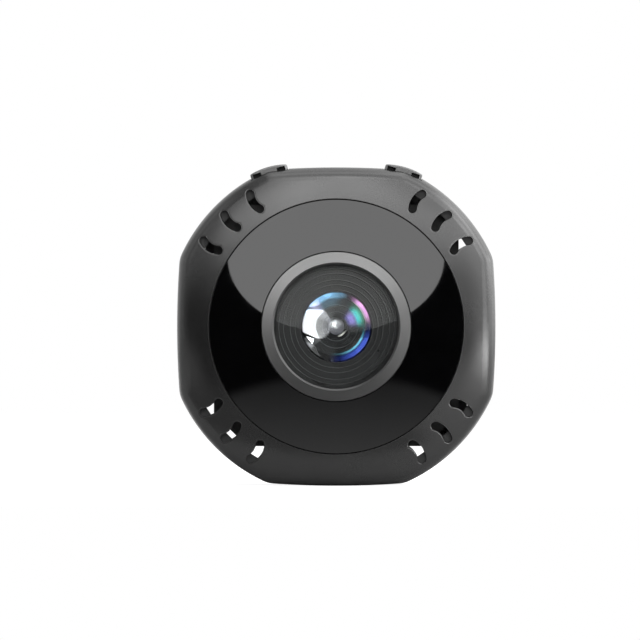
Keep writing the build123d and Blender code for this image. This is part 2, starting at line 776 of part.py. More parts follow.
def make_key(side):
    """Key cap with its retaining flange and the stem that presses the switch."""
    normal = Axis((0, 0, 0), (side * sin(radians(key_tilt)), 0, cos(radians(key_tilt))))
    with BuildPart() as key:
        with BuildSketch(key_plane(side, key_back_depth)) as profile:
            with Locations((0, (key_flange_top + key_proud_height) / 2)):
                Rectangle(key_width, key_proud_height - key_flange_top)
            with Locations((0, key_proud_height - key_crown_radius)):
                Circle(key_crown_radius, mode=Mode.INTERSECT)
        extrude(profile.sketch, amount=key_length)
        fillet(edges().filter_by(normal), key_corner_radius)
        fillet(faces().sort_by(normal)[-1].edges(), key_edge_radius)
        key_slab(side, key_front_depth, key_back_depth + key_flange_margin, key_flange_bottom,
                 key_flange_top, key_width + 2 * key_flange_margin)
        key_slab(side, key_centre_depth - key_stem_width / 2, key_centre_depth + key_stem_width / 2,
                 key_stem_end, key_flange_bottom, key_stem_width)
        for end in (1, -1):
            offset = end * (key_width / 2 - key_notch_inset - key_notch_width / 2)
            with BuildSketch(key_plane(side, key_front_depth + key_notch_depth)) as notch:
                with Locations((offset, (key_notch_low + key_notch_high) / 2)):
                    Rectangle(key_notch_width, key_notch_high - key_notch_low)
            extrude(notch.sketch, amount=key_notch_depth, mode=Mode.SUBTRACT)
    return key.part


def make_switch(side):
    """Tact switch on the back of the ring-shaped board, open towards its key."""
    with BuildPart() as switch:
        key_slab(side, led_board_back, led_board_back + switch_height, switch_face - switch_thickness,
                 switch_face, switch_width)
        half = plunger_width / 2 + plunger_clearance
        key_slab(side, key_centre_depth - half, key_centre_depth + half,
                 switch_face - plunger_depth - key_travel - key_clearance, switch_face, 2 * half,
                 Mode.SUBTRACT)
    return switch.part


def make_plunger(side):
    """Plunger that stands out of a switch and meets its key's stem."""
    with BuildPart() as plunger:
        key_slab(side, key_centre_depth - plunger_width / 2, key_centre_depth + plunger_width / 2,
                 switch_face - plunger_depth, key_stem_end, plunger_width)
    return plunger.part


for side, name in ((1, "right"), (-1, "left")):
    for piece, make in (("key", make_key), ("switch", make_switch), ("plunger", make_plunger)):
        solid = make(side)
        solid.label = name + "_" + piece
        export_step(solid, "parts/" + name + "_" + piece + ".step")

# Space inside the rear housing, with the bosses left standing in it
with BuildPart() as rear_space:
    with BuildSketch(front_plane(rear_inner_depth)):
        case_outline(case_wall)
    extrude(amount=rear_inner_depth - parting_depth)
    disc(parting_depth, rear_inner_depth, case_screw_centres, case_boss_rear_radius, Mode.SUBTRACT)
    ring(0, magnet_radius + magnet_gap + magnet_pocket_wall, pocket_front, rear_inner_depth,
         Mode.SUBTRACT)

with BuildPart() as rear_housing:
    with BuildSketch(front_plane(rear_face_depth)):
        case_outline(0)
    extrude(amount=rear_face_depth - parting_depth - parting_gap)
    fillet(faces().sort_by(Axis.Y)[-1].edges(), rear_shoulder_radius)
    add(rear_space.part, mode=Mode.SUBTRACT)
    lip_root = parting_depth + parting_gap
    extrude(lip_bands(case_wall + lip_clearance, lip_root), amount=lip_height)
    extrude(lip_bands(case_wall / 2, lip_root + lip_height), amount=lip_height)
    ring(0, rear_plate_radius + rear_plate_gap, plate_seat, rear_face_depth, Mode.SUBTRACT)
    ring(0, magnet_radius + magnet_gap, magnet_front - magnet_gap, plate_seat, Mode.SUBTRACT)
    disc(parting_depth, rear_face_depth, case_screw_centres, case_screw_radius + screw_clearance,
         Mode.SUBTRACT)
    disc(case_screw_seat, rear_face_depth, case_screw_centres, case_screw_head_radius + head_clearance,
         Mode.SUBTRACT)
    disc(rear_inner_depth, rear_face_depth, [reset_centre], reset_hole_radius, Mode.SUBTRACT)
    with BuildSketch(front_plane(rear_face_depth)):
        with Locations(speaker_centre):
            with GridLocations(speaker_hole_pitch, speaker_hole_pitch, speaker_hole_columns,
                               speaker_hole_rows):
                Circle(speaker_hole_radius)
    extrude(amount=rear_wall, mode=Mode.SUBTRACT)
    with BuildSketch(front_plane(rear_face_depth)):
        vent_slots()
    extrude(amount=rear_wall + rear_shoulder_radius, dir=(0, -1, 0), mode=Mode.SUBTRACT)
rear_housing.part.label = "rear_housing"
export_step(rear_housing.part, "parts/rear_housing.step")

with BuildPart() as rear_plate:
    ring(0, rear_plate_radius, plate_seat, overall_depth)
    chamfer(faces().sort_by(Axis.Y)[-1].edges(), rear_plate_chamfer)
rear_plate.part.label = "rear_plate"
export_step(rear_plate.part, "parts/rear_plate.step")

with BuildPart() as magnet:
    ring(0, magnet_radius, magnet_front, magnet_front + magnet_thickness)
magnet.part.label = "magnet"
export_step(magnet.part, "parts/magnet.step")

with BuildPart() as speaker:
    slab(rear_inner_depth - speaker_thickness, rear_inner_depth, speaker_centre, speaker_size,
         speaker_corner)
    slab(rear_inner_depth - speaker_recess_depth, rear_inner_depth, speaker_centre,
         (speaker_size[0] - 2 * speaker_rim_width, speaker_size[1] - 2 * speaker_rim_width),
         speaker_corner - speaker_rim_width, Mode.SUBTRACT)
speaker.part.label = "speaker"
export_step(speaker.part, "parts/speaker.step")

with BuildPart() as usb_socket:
    with BuildSketch(side_plane(-usb_mouth, usb_near + usb_size[1] / 2)):
        SlotOverall(*usb_size)
    extrude(amount=usb_length)
    with BuildSketch(side_plane(-usb_mouth, usb_near + usb_size[1] / 2)):
        SlotOverall(usb_size[0] - 2 * usb_shell_thickness, usb_size[1] - 2 * usb_shell_thickness)
    extrude(amount=usb_length - usb_base_thickness, mode=Mode.SUBTRACT)
    with BuildSketch(side_plane(usb_tongue_gap - usb_mouth, usb_near + usb_size[1] / 2)):
        Rectangle(*usb_tongue)
    extrude(amount=usb_length - usb_base_thickness - usb_tongue_gap)
usb_socket.part.label = "usb_socket"
export_step(usb_socket.part, "parts/usb_socket.step")

with BuildPart() as card_socket:
    card_socket_outer = case_half_width - case_wall - socket_setback
    slab(main_board_back, card_socket_back, (card_socket_outer - card_socket_length / 2, 0),
         (card_socket_length, card_socket_width))
    slab(card_near - card_clearance, card_far + card_clearance, card_centre,
         (card_size[0] + 2 * card_clearance, card_size[1] + 2 * card_clearance), mode=Mode.SUBTRACT)
card_socket.part.label = "card_socket"
export_step(card_socket.part, "parts/card_socket.step")

with BuildPart() as memory_card:
    slab(card_near, card_far, card_centre, card_size, card_corner)
memory_card.part.label = "memory_card"
export_step(memory_card.part, "parts/memory_card.step")

with BuildPart() as battery:
    slab(battery_near, battery_back, battery_centre, battery_size, battery_corner)
battery.part.label = "battery"
export_step(battery.part, "parts/battery.step")

with BuildPart() as battery_tape:
    ring(0, magnet_radius, battery_back, pocket_front)
battery_tape.part.label = "battery_tape"
export_step(battery_tape.part, "parts/battery_tape.step")

with BuildPart() as battery_connector:
    slab(main_board_back, main_board_back + connector_height, connector_centre, connector_size)
battery_connector.part.label = "battery_connector"
export_step(battery_connector.part, "parts/battery_connector.step")

with BuildPart() as battery_leads:
    lead_depth = (battery_near + battery_back) / 2
    connector_back = main_board_back + connector_height
    for number in (-1, 1):
        x = connector_centre[0] + number * lead_pitch / 2
        lead_start = front_plane(lead_depth).from_local_coords((x, battery_bottom, 0))
        lead_turn = front_plane(lead_depth).from_local_coords((x, connector_centre[1], 0))
        lead_end = front_plane(connector_back).from_local_coords((x, connector_centre[1], 0))
        with BuildLine() as route:
            FilletPolyline(lead_start, lead_turn, lead_end, radius=lead_bend_radius)
        with BuildSketch(Plane(origin=lead_start, z_dir=(0, 0, -1))) as core:
            Circle(lead_radius)
        sweep(core.sketch, path=route.line)
battery_leads.part.label = "battery_leads"
export_step(battery_leads.part, "parts/battery_leads.step")

with BuildPart() as processor:
    slab(main_board_depth - processor_thickness, main_board_depth, processor_centre, processor_size)
processor.part.label = "processor"
export_step(processor.part, "parts/processor.step")

thermal_pad_front = main_board_depth - processor_thickness - thermal_pad_thickness
with BuildPart() as thermal_pad:
    slab(thermal_pad_front, thermal_pad_front + thermal_pad_thickness, processor_centre, processor_size)
thermal_pad.part.label = "thermal_pad"
export_step(thermal_pad.part, "parts/thermal_pad.step")

with BuildPart() as heat_sink:
    sink_front = thermal_pad_front - heat_sink_base
    slab(sink_front, thermal_pad_front, processor_centre, processor_size)
    fin_pitch = (processor_size[0] - heat_sink_fin_width) / (heat_sink_fins - 1)
    with BuildSketch(front_plane(sink_front)):
        with Locations(processor_centre):
            with GridLocations(fin_pitch, 0, heat_sink_fins, 1):
                Rectangle(heat_sink_fin_width, processor_size[1])
    extrude(amount=heat_sink_fin_height)
heat_sink.part.label = "heat_sink"
export_step(heat_sink.part, "parts/heat_sink.step")

with BuildPart() as radio_module:
    slab(main_board_depth - radio_thickness, main_board_depth, radio_centre, radio_size)
radio_module.part.label = "radio_module"
export_step(radio_module.part, "parts/radio_module.step")

with BuildPart() as memory_chip:
    slab(main_board_back, main_board_back + memory_thickness, memory_centre, memory_size)
memory_chip.part.label = "memory_chip"
export_step(memory_chip.part, "parts/memory_chip.step")

with BuildPart() as antenna:
    antenna_x = case_half_width - case_wall - antenna_gap - antenna_thickness / 2
    slab(antenna_depth, antenna_depth + antenna_size[1], (antenna_x, 0),
         (antenna_thickness, antenna_size[0]))
antenna.part.label = "antenna"
export_step(antenna.part, "parts/antenna.step")

with BuildPart() as reset_switch:
    slab(main_board_back, reset_back, reset_centre, reset_size)
    disc(main_board_back + reset_floor_thickness, reset_back, [reset_centre],
         reset_button_radius + plunger_clearance, Mode.SUBTRACT)
reset_switch.part.label = "reset_switch"
export_step(reset_switch.part, "parts/reset_switch.step")

with BuildPart() as reset_button:
    disc(main_board_back + 2 * reset_floor_thickness, reset_back + reset_button_height, [reset_centre],
         reset_button_radius)
reset_button.part.label = "reset_button"
export_step(reset_button.part, "parts/reset_button.step")

with BuildPart() as case_screws:
    screws(case_screw_centres, case_screw_seat, case_screw_radius, case_screw_length,
           case_screw_head_radius, case_screw_head_height)
case_screws.part.label = "case_screws"
export_step(case_screws.part, "parts/case_screws.step")

with BuildPart() as board_screws:
    screws(board_screw_centres, main_board_back, board_screw_radius, board_screw_length,
           board_screw_head_radius, board_screw_head_height)
board_screws.part.label = "board_screws"
export_step(board_screws.part, "parts/board_screws.step")

with BuildPart() as led_board_screws:
    screws(led_screw_centres, led_board_back, led_screw_radius, led_screw_length, led_screw_head_radius,
           led_screw_head_height)
led_board_screws.part.label = "led_board_screws"
export_step(led_board_screws.part, "parts/led_board_screws.step")
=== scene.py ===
from math import asin, cos, hypot, pi, radians, sin

import bpy
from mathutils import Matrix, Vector

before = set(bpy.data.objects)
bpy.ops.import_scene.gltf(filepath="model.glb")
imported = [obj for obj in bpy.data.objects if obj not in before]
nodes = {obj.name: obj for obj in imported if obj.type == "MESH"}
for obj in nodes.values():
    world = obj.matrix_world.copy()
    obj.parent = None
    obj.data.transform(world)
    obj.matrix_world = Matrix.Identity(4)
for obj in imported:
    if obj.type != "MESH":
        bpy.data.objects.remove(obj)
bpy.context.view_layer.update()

MM = 0.001
AXIS_Z = 22.5  # height of the lens axis, in millimetres
FRONT_Y = -12.0  # foremost edge of the lens bezel
LENS_CURVE = 13.5  # radius of the front lens surface
LENS_VERTEX = 3.11  # depth of the front lens behind the bezel's edge
STEP_RADII = (8.1, 7.43, 6.5, 5.8, 5.08)  # openings of the baffle under the cover glass
STOP_RADII = (4.1, 3.0, 2.0, 1.13)  # openings of the stop ring behind the front lens
LED_RING, LED_COUNT = 13.6, 6.0  # radius of the ring of infrared lamps, and how many
LATHE_PITCH = 0.12  # between two marks of the lathe tool
scene = bpy.context.scene


# ---------------------------------------------------------------- shader helpers

def link(tree, source, target):
    tree.links.new(source, target)


def node(tree, kind, **settings):
    made = tree.nodes.new(kind)
    for key, value in settings.items():
        setattr(made, key, value)
    return made


def feed(tree, value, socket):
    """Links a socket, or sets its number, vector or colour."""
    if isinstance(value, bpy.types.NodeSocket):
        link(tree, value, socket)
    elif hasattr(value, "__len__") and socket.type == "RGBA":
        socket.default_value = (*value, 1.0)
    else:
        socket.default_value = value


def math(tree, operation, *values, clamp=False):
    """Result of a math node on sockets or numbers."""
    made = node(tree, "ShaderNodeMath", operation=operation, use_clamp=clamp)
    for number, value in enumerate(values):
        feed(tree, value, made.inputs[number])
    return made.outputs[0]


def remap(tree, value, low, high, to_low, to_high, smooth=False):
    """Value between two levels, held to them, moved to two others."""
    made = node(tree, "ShaderNodeMapRange", clamp=True)
    made.interpolation_type = "SMOOTHSTEP" if smooth else "LINEAR"
    feed(tree, value, made.inputs["Value"])
    levels = (("From Min", low), ("From Max", high), ("To Min", to_low), ("To Max", to_high))
    for name, number in levels:
        made.inputs[name].default_value = number
    return made.outputs["Result"]


def ramp(tree, value, stops):
    """Colours, or greys given as one number, along a value from 0 to 1."""
    made = node(tree, "ShaderNodeValToRGB")
    feed(tree, value, made.inputs["Fac"])
    elements = made.color_ramp.elements
    while len(elements) < len(stops):
        elements.new(0.5)
    for element, (place, colour) in zip(elements, stops):
        element.position = place
        element.color = (*colour, 1.0) if hasattr(colour, "__len__") else (colour, colour, colour, 1.0)
    return made.outputs["Color"]


def blend(tree, share, low, high):
    """Colour between two others."""
    made = node(tree, "ShaderNodeMix", data_type="RGBA")
    feed(tree, share, made.inputs[0])
    feed(tree, low, made.inputs[6])
    feed(tree, high, made.inputs[7])
    return made.outputs[2]


def band(tree, value, low, high, soft):
    """1 between two levels and 0 outside them, with soft edges."""
    rise = remap(tree, value, low - soft, low + soft, 0.0, 1.0, smooth=True)
    fall = remap(tree, value, high - soft, high + soft, 1.0, 0.0, smooth=True)
    return math(tree, "MULTIPLY", rise, fall)


def object_place(tree, offset=(0, 0, 0), scale=(1, 1, 1)):
    """Object coordinates in millimetres, stretched, then moved by offset."""
    coordinate = node(tree, "ShaderNodeTexCoord")
    mapping = node(tree, "ShaderNodeMapping")
    mapping.inputs["Location"].default_value = offset
    mapping.inputs["Scale"].default_value = tuple(1000.0 * s for s in scale)
    link(tree, coordinate.outputs["Object"], mapping.inputs["Vector"])
    return mapping.outputs["Vector"]


def parts_of(tree, vector):
    made = node(tree, "ShaderNodeSeparateXYZ")
    feed(tree, vector, made.inputs[0])
    return made.outputs[0], made.outputs[1], made.outputs[2]


def face_along(tree, axis):
    """How far a face looks along an axis, 0 to 1, from the true normal in object space."""
    coordinate = node(tree, "ShaderNodeTexCoord")
    return math(tree, "ABSOLUTE", parts_of(tree, coordinate.outputs["Normal"])[axis])


def noise(tree, place, scale, detail=3.0, roughness=0.55):
    made = node(tree, "ShaderNodeTexNoise")
    for name, value in (("Scale", scale), ("Detail", detail), ("Roughness", roughness)):
        made.inputs[name].default_value = value
    link(tree, place, made.inputs["Vector"])
    return made.outputs["Fac"]


def cell_edges(tree, place, scale):
    """Distance from the borders of a pattern of irregular cells."""
    made = node(tree, "ShaderNodeTexVoronoi", feature="DISTANCE_TO_EDGE")
    made.inputs["Scale"].default_value = scale
    link(tree, place, made.inputs["Vector"])
    return made.outputs["Distance"]


def bump(tree, height, depth):
    """Normal from a height of 0 to 1 that stands for depth in millimetres."""
    made = node(tree, "ShaderNodeBump")
    made.inputs["Strength"].default_value = 1.0
    made.inputs["Distance"].default_value = depth * MM
    feed(tree, height, made.inputs["Height"])
    return made.outputs["Normal"]


def length(tree, a, b):
    """Length of a line with two legs at right angles."""
    squares = math(tree, "POWER", a, 2.0), math(tree, "POWER", b, 2.0)
    return math(tree, "SQRT", math(tree, "ADD", *squares))


def axis_polar(tree):
    """Depth, radius in millimetres and turn from 0 to 1 round the lens axis."""
    x, y, z = parts_of(tree, object_place(tree, (0, 0, -AXIS_Z)))
    radius = length(tree, x, z)
    turn = math(tree, "FRACT", math(tree, "DIVIDE", math(tree, "ARCTAN2", z, x), 2 * pi))
    return y, radius, turn


def scaled(tree, vector, factor):
    """Vector or colour times a number."""
    made = node(tree, "ShaderNodeVectorMath", operation="SCALE")
    link(tree, vector, made.inputs[0])
    feed(tree, factor, made.inputs["Scale"])
    return made.outputs[0]


def sum_of(tree, first, second):
    """Sum of two vectors or colours."""
    made = node(tree, "ShaderNodeVectorMath", operation="ADD")
    link(tree, first, made.inputs[0])
    link(tree, second, made.inputs[1])
    return made.outputs[0]


def add_shaders(tree, first, second):
    made = node(tree, "ShaderNodeAddShader")
    link(tree, first, made.inputs[0])
    link(tree, second, made.inputs[1])
    return made.outputs[0]


def mix_shaders(tree, share, low, high):
    made = node(tree, "ShaderNodeMixShader")
    link(tree, share, made.inputs["Fac"])
    link(tree, low, made.inputs[1])
    link(tree, high, made.inputs[2])
    return made.outputs[0]


def matt_grey(tree, scale, dark, light):
    """Matt shader of a slightly uneven grey."""
    made = node(tree, "ShaderNodeBsdfDiffuse")
    grey = ramp(tree, noise(tree, object_place(tree), scale), ((0.3, dark), (0.7, light)))
    link(tree, grey, made.inputs["Color"])
    return made.outputs[0]


def rings(tree, radius, edges, width):
    """Thin bands just outside each of some radii, where a step's edge gets a painted highlight and a
    bevel bump.
    """
    total = 0.0
    for edge in edges:
        total = math(tree, "ADD", band(tree, radius, edge, edge + width, width / 4), total)
    return total


def new_material(name):
    material = bpy.data.materials.new(name)
    material.use_nodes = True
    tree = material.node_tree
    tree.nodes.clear()
    return material, tree, node(tree, "ShaderNodeOutputMaterial")


def surface(name, colour, roughness, normal=None, **sockets):
    """Material with one principled shader. Each value may be a function of the tree."""
    material, tree, output = new_material(name)
    shader = node(tree, "ShaderNodeBsdfPrincipled")
    values = {"Base Color": colour, "Roughness": roughness, "Normal": normal}
    values.update({key.replace("_", " "): value for key, value in sockets.items()})
    for key, value in values.items():
        if callable(value):
            value = value(tree)
        if value is not None:
            feed(tree, value, shader.inputs[key])
    link(tree, shader.outputs["BSDF"], output.inputs["Surface"])
    return material


def shade(colour, share):
    """Colour made lighter or darker."""
    return tuple(min(1.0, c * share) for c in colour)


def grained(tree, grain):
    """Slow and fine unevenness of a moulded surface, added up, and the fine one alone."""
    place = object_place(tree)
    slow = noise(tree, place, 0.13, 2.0)
    fine = noise(tree, place, 1 / grain, 2.0)
    both = math(tree, "ADD", math(tree, "MULTIPLY", slow, 0.6), math(tree, "MULTIPLY", fine, 0.4))
    return both, fine


def moulded(name, colour, roughness, grain=0.12, depth=0.004, variation=0.06, **sockets):
    """Moulded, painted or blasted surface: a fine grain, with slow changes of colour and gloss."""
    return surface(
        name,
        lambda t: ramp(t, grained(t, grain)[0], ((0.35, shade(colour, 1 - variation)),
                                                 (0.65, shade(colour, 1 + variation)))),
        lambda t: remap(t, grained(t, grain)[0], 0.35, 0.65, roughness - 0.03, roughness + 0.03),
        lambda t: bump(t, grained(t, grain)[1], depth), **sockets)


def brushed(name, colour, roughness, stretch):
    """Metal with fine scratches along the axis that stretch leaves small."""
    def lines(t):
        return noise(t, object_place(t, scale=stretch), 1.0, 4.0, 0.7)
    return surface(
        name,
        lambda t: ramp(t, lines(t), ((0.3, shade(colour, 0.88)), (0.7, shade(colour, 1.12)))),
        lambda t: remap(t, lines(t), 0.3, 0.7, roughness - 0.06, roughness + 0.06),
        lambda t: bump(t, lines(t), 0.002), Metallic=1.0)


def turned(name, colour, roughness):
    """Part turned on a lathe: fine circular marks round the lens axis."""
    def marks(t):
        _, radius, _ = axis_polar(t)
        wave = math(t, "SINE", math(t, "MULTIPLY", radius, 2 * pi / LATHE_PITCH))
        return math(t, "ADD", math(t, "MULTIPLY", wave, 0.25), noise(t, object_place(t), 2.0))
    return surface(
        name,
        lambda t: ramp(t, marks(t), ((0.3, shade(colour, 0.85)), (0.7, shade(colour, 1.15)))),
        lambda t: remap(t, marks(t), 0.2, 0.8, roughness - 0.04, roughness + 0.04),
        lambda t: bump(t, marks(t), 0.004))


def schlick(tree, base):
    """Share of light that a clear surface mirrors, the same from either side."""
    facing = node(tree, "ShaderNodeLayerWeight")
    facing.inputs["Blend"].default_value = 0.5
    fifth = math(tree, "POWER", facing.outputs["Facing"], 5.0)
    more = math(tree, "MULTIPLY", fifth, math(tree, "SUBTRACT", 1.0, base))
    return math(tree, "ADD", more, base, clamp=True)


def paint(material, *names):
    """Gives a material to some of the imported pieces."""
    for name in names:
        slots = nodes[name].data.materials
        slots.clear()
        slots.append(material)


# ---------------------------------------------------------------- case and trim

VENT_PITCH = 12.05  # degrees between the three vent slots of a corner
VENT_MIDDLE, VENT_BULGE = 21.05, 0.32  # radius of a slot's middle, and how far its line bows
VENT_REACH, VENT_HALF_WIDTH = 1.25, 0.605
VENT_CURVE = (VENT_REACH ** 2 + VENT_BULGE ** 2) / (2 * VENT_BULGE)  # radius of its line
DOME_INNER, DOME_OUTER = 18.05, 25.05  # radii of the front dome
DOME_START, DOME_DROP, DOME_CROWN = 0.55, 2.5, 0.3  # its depth inside, its fall, and its bow
NOTCH_Y = -8.5  # between a key's front face and the floors of its notches


def vent_distance(tree):
    """Distance in millimetres from the outline of the nearest vent slot, less than 0 inside it."""
    _, radius, turn = axis_polar(tree)
    quarter = math(tree, "FRACT", math(tree, "MULTIPLY", turn, 4.0))
    corner = math(tree, "MULTIPLY", math(tree, "SUBTRACT", quarter, 0.5), 90.0)
    slot = math(tree, "DIVIDE", corner, VENT_PITCH)
    nearest = math(tree, "MINIMUM", math(tree, "MAXIMUM", math(tree, "ROUND", slot), -1.0), 1.0)
    away = math(tree, "MULTIPLY", math(tree, "SUBTRACT", slot, nearest), radians(VENT_PITCH))
    along = math(tree, "SUBTRACT", math(tree, "MULTIPLY", radius, math(tree, "COSINE", away)),
                 VENT_MIDDLE)
    across = math(tree, "MULTIPLY", radius, math(tree, "SINE", away))

    above = math(tree, "SUBTRACT", across, VENT_BULGE - VENT_CURVE)
    arc = math(tree, "ABSOLUTE", math(tree, "SUBTRACT", length(tree, along, above), VENT_CURVE))
    arc = math(tree, "MAXIMUM", arc, math(tree, "MULTIPLY", above, -1.0))
    beyond = math(tree, "SUBTRACT", math(tree, "ABSOLUTE", along), VENT_REACH)
    ends = length(tree, beyond, across)
    past = math(tree, "GREATER_THAN", beyond, 0.0)
    near = math(tree, "ADD", math(tree, "MULTIPLY", past, ends),
                math(tree, "MULTIPLY", math(tree, "SUBTRACT", 1.0, past), arc))
    return math(tree, "SUBTRACT", near, VENT_HALF_WIDTH)


def below_dome(tree):
    """Depth in millimetres below the front dome."""
    depth, radius, _ = axis_polar(tree)
    share = math(tree, "DIVIDE", math(tree, "SUBTRACT", radius, DOME_INNER), DOME_OUTER - DOME_INNER)
    bow = math(tree, "MULTIPLY", share, math(tree, "SUBTRACT", 1.0, share))
    crown = math(tree, "MULTIPLY", bow, 4 * DOME_CROWN)
    dome = math(tree, "SUBTRACT", math(tree, "MULTIPLY", share, DOME_DROP), crown)
    return math(tree, "SUBTRACT", math(tree, "SUBTRACT", depth, DOME_START + FRONT_Y), dome)


def vent_inside(tree):
    """1 on the walls of the vent slots and of the panel's recess, 0 on the outer skin."""
    sunk = remap(tree, below_dome(tree), 0.08, 0.2, 0.0, 1.0, smooth=True)
    slot = math(tree, "MULTIPLY", sunk, remap(tree, vent_distance(tree), 0.03, 0.08, 1.0, 0.0))
    recess = math(tree, "LESS_THAN", axis_polar(tree)[1], DOME_INNER + 0.06)
    return math(tree, "MAXIMUM", slot, recess)


def case_plastic():
    """Satin black plastic, darker inside the vents and the panel's recess as painted shade, duller
    there, with a broken edge round each vent.
    """
    def colour(t):
        skin = ramp(t, grained(t, 0.12)[0], ((0.35, 0.0052), (0.65, 0.0060)))
        # painted shade: near black inside the vents and on the walls of the panel's recess
        return blend(t, vent_inside(t), skin, (0.0012, 0.0012, 0.0012))

    def roughness(t):
        skin = remap(t, grained(t, 0.12)[0], 0.35, 0.65, 0.24, 0.28)
        return math(t, "ADD", skin, math(t, "MULTIPLY", vent_inside(t), 0.35))

    def edge(t):
        lip = band(t, vent_distance(t), -0.02, 0.12, 0.05)
        return bump(t, math(t, "ADD", grained(t, 0.12)[1], math(t, "MULTIPLY", lip, -14.0)), 0.0025)
    return surface("case_front", colour, roughness, edge, Specular_IOR_Level=1.0)


paint(case_plastic(), "front_housing")
paint(moulded("case_rear", (0.0056, 0.0056, 0.0056), 0.26, Specular_IOR_Level=1.0), "rear_housing")


def key_plastic():
    """Grey satin plastic; on the floors of the notches in a key's front face it is near black
    as painted shade, and dull.
    """
    def notch(t):
        return math(t, "MULTIPLY", math(t, "GREATER_THAN", face_along(t, 1), 0.9),
                    math(t, "GREATER_THAN", parts_of(t, object_place(t))[1], NOTCH_Y))

    def colour(t):
        skin = ramp(t, grained(t, 0.1)[0], ((0.35, 0.122), (0.65, 0.138)))
        # painted shade: near black on the notch floors
        return blend(t, notch(t), skin, (0.002, 0.002, 0.002))

    def roughness(t):
        skin = remap(t, grained(t, 0.1)[0], 0.35, 0.65, 0.39, 0.45)
        return math(t, "ADD", skin, math(t, "MULTIPLY", notch(t), 0.5))
    return surface("key_plastic", colour, roughness, lambda t: bump(t, grained(t, 0.1)[1], 0.004),
                   Specular_IOR_Level=0.8)


paint(key_plastic(), "left_key", "right_key")
paint(moulded("bezel_metal", (0.085, 0.085, 0.085), 0.4, 0.08, 0.002, Metallic=0.85,
              Specular_IOR_Level=1.0), "lens_bezel")
paint(moulded("black_plastic", (0.018, 0.018, 0.019), 0.45, 0.15, 0.006),
      "lens_holder", "lens_spacer", "board_header", "battery_connector",
      "left_switch", "right_switch", "reset_switch")
paint(moulded("shield_plastic", (0.035, 0.035, 0.035), 0.4, 0.1, 0.004), "vent_shield")
paint(moulded("plunger_plastic", (0.55, 0.55, 0.52), 0.45),
      "left_plunger", "right_plunger", "reset_button")


def stepped(name, colour, edge_highlight_colour, edges, width):
    """Black plastic or metal steps round the lens, each edge lighter as a painted highlight and bumped
    as a bevel.
    """
    def edge(t):
        return rings(t, axis_polar(t)[1], edges, width)

    def base(t):
        shades = (0.35, shade(colour, 0.9)), (0.65, shade(colour, 1.1))
        # painted highlight: a lighter colour on the band at each step's edge
        return blend(t, edge(t), ramp(t, grained(t, 0.1)[0], shades), edge_highlight_colour)

    def height(t):
        return math(t, "ADD", math(t, "MULTIPLY", edge(t), 4.0), grained(t, 0.1)[1])
    return surface(name, base, lambda t: remap(t, edge(t), 0.0, 1.0, 0.5, 0.3),
                   lambda t: bump(t, height(t), 0.006))


paint(stepped("baffle_plastic", (0.012, 0.012, 0.012), (0.035, 0.035, 0.035), STEP_RADII, 0.12),
      "lens_baffle")
paint(stepped("stop_metal", (0.008, 0.008, 0.009), (0.09, 0.09, 0.095), STOP_RADII, 0.1),
      "stop_ring")
paint(turned("barrel_metal", (0.02, 0.02, 0.022), 0.35), "lens_barrel", "lens_retainer")


def panel_waves(t):
    return noise(t, object_place(t), 0.3, 2.0)


def gloss_panel(t):
    return ramp(t, panel_waves(t), ((0.3, (0.0006, 0.0006, 0.0007)), (0.7, (0.0012, 0.0012, 0.0014))))


paint(surface("panel_plastic", gloss_panel,
              lambda t: remap(t, panel_waves(t), 0.3, 0.7, 0.006, 0.012), IOR=1.5), "front_panel")


# ---------------------------------------------------------------- glass

def flatter(tree, share):
    """Normal turned part of the way to the lens axis, for a shallower outer surface."""
    geometry = node(tree, "ShaderNodeNewGeometry")
    coordinate = node(tree, "ShaderNodeTexCoord")
    side = math(tree, "SIGN", parts_of(tree, coordinate.outputs["Normal"])[1])
    axis = node(tree, "ShaderNodeCombineXYZ")
    feed(tree, math(tree, "MULTIPLY", side, share / (1 - share)), axis.inputs[1])
    unit = node(tree, "ShaderNodeVectorMath", operation="NORMALIZE")
    link(tree, sum_of(tree, geometry.outputs["Normal"], axis.outputs[0]), unit.inputs[0])
    return unit.outputs[0]


def glass(name, share, mirror_colour=None, tint=(0.97, 0.98, 0.98), roughness=0.0, flatten=0.0,
          haze=None):
    """Clear glass that mirrors a share of the light, which may vary over it, as may its colour."""
    material, tree, output = new_material(name)
    clear = node(tree, "ShaderNodeBsdfTransparent")
    clear.inputs["Color"].default_value = (*tint, 1.0)
    gloss = node(tree, "ShaderNodeBsdfGlossy")
    gloss.inputs["Roughness"].default_value = roughness
    amount, colour = share(tree) if callable(share) else (share, mirror_colour)
    if colour is not None:
        feed(tree, colour, gloss.inputs["Color"])
    if flatten:
        link(tree, flatter(tree, flatten), gloss.inputs["Normal"])
    through = clear.outputs[0]
    if haze:
        cloud = node(tree, "ShaderNodeBsdfDiffuse")
        cloud.inputs["Color"].default_value = (*haze, 1.0)
        through = add_shaders(tree, through, cloud.outputs[0])
    mix = mix_shaders(tree, schlick(tree, amount), through, gloss.outputs[0])
    link(tree, mix, output.inputs["Surface"])
    return material


DARK, NEAR_DARK = (0.02, 0.02, 0.02), (0.03, 0.03, 0.03)
# Painted reflection levels: the window patch at the left, its edge, and the crescent
PATCH_EDGE, PATCH = (0.08, 0.08, 0.09), (0.34, 0.34, 0.35)
CRESCENT = (0.25, 0.25, 0.23)
FAR_UP = 9.0  # a level above the whole lens
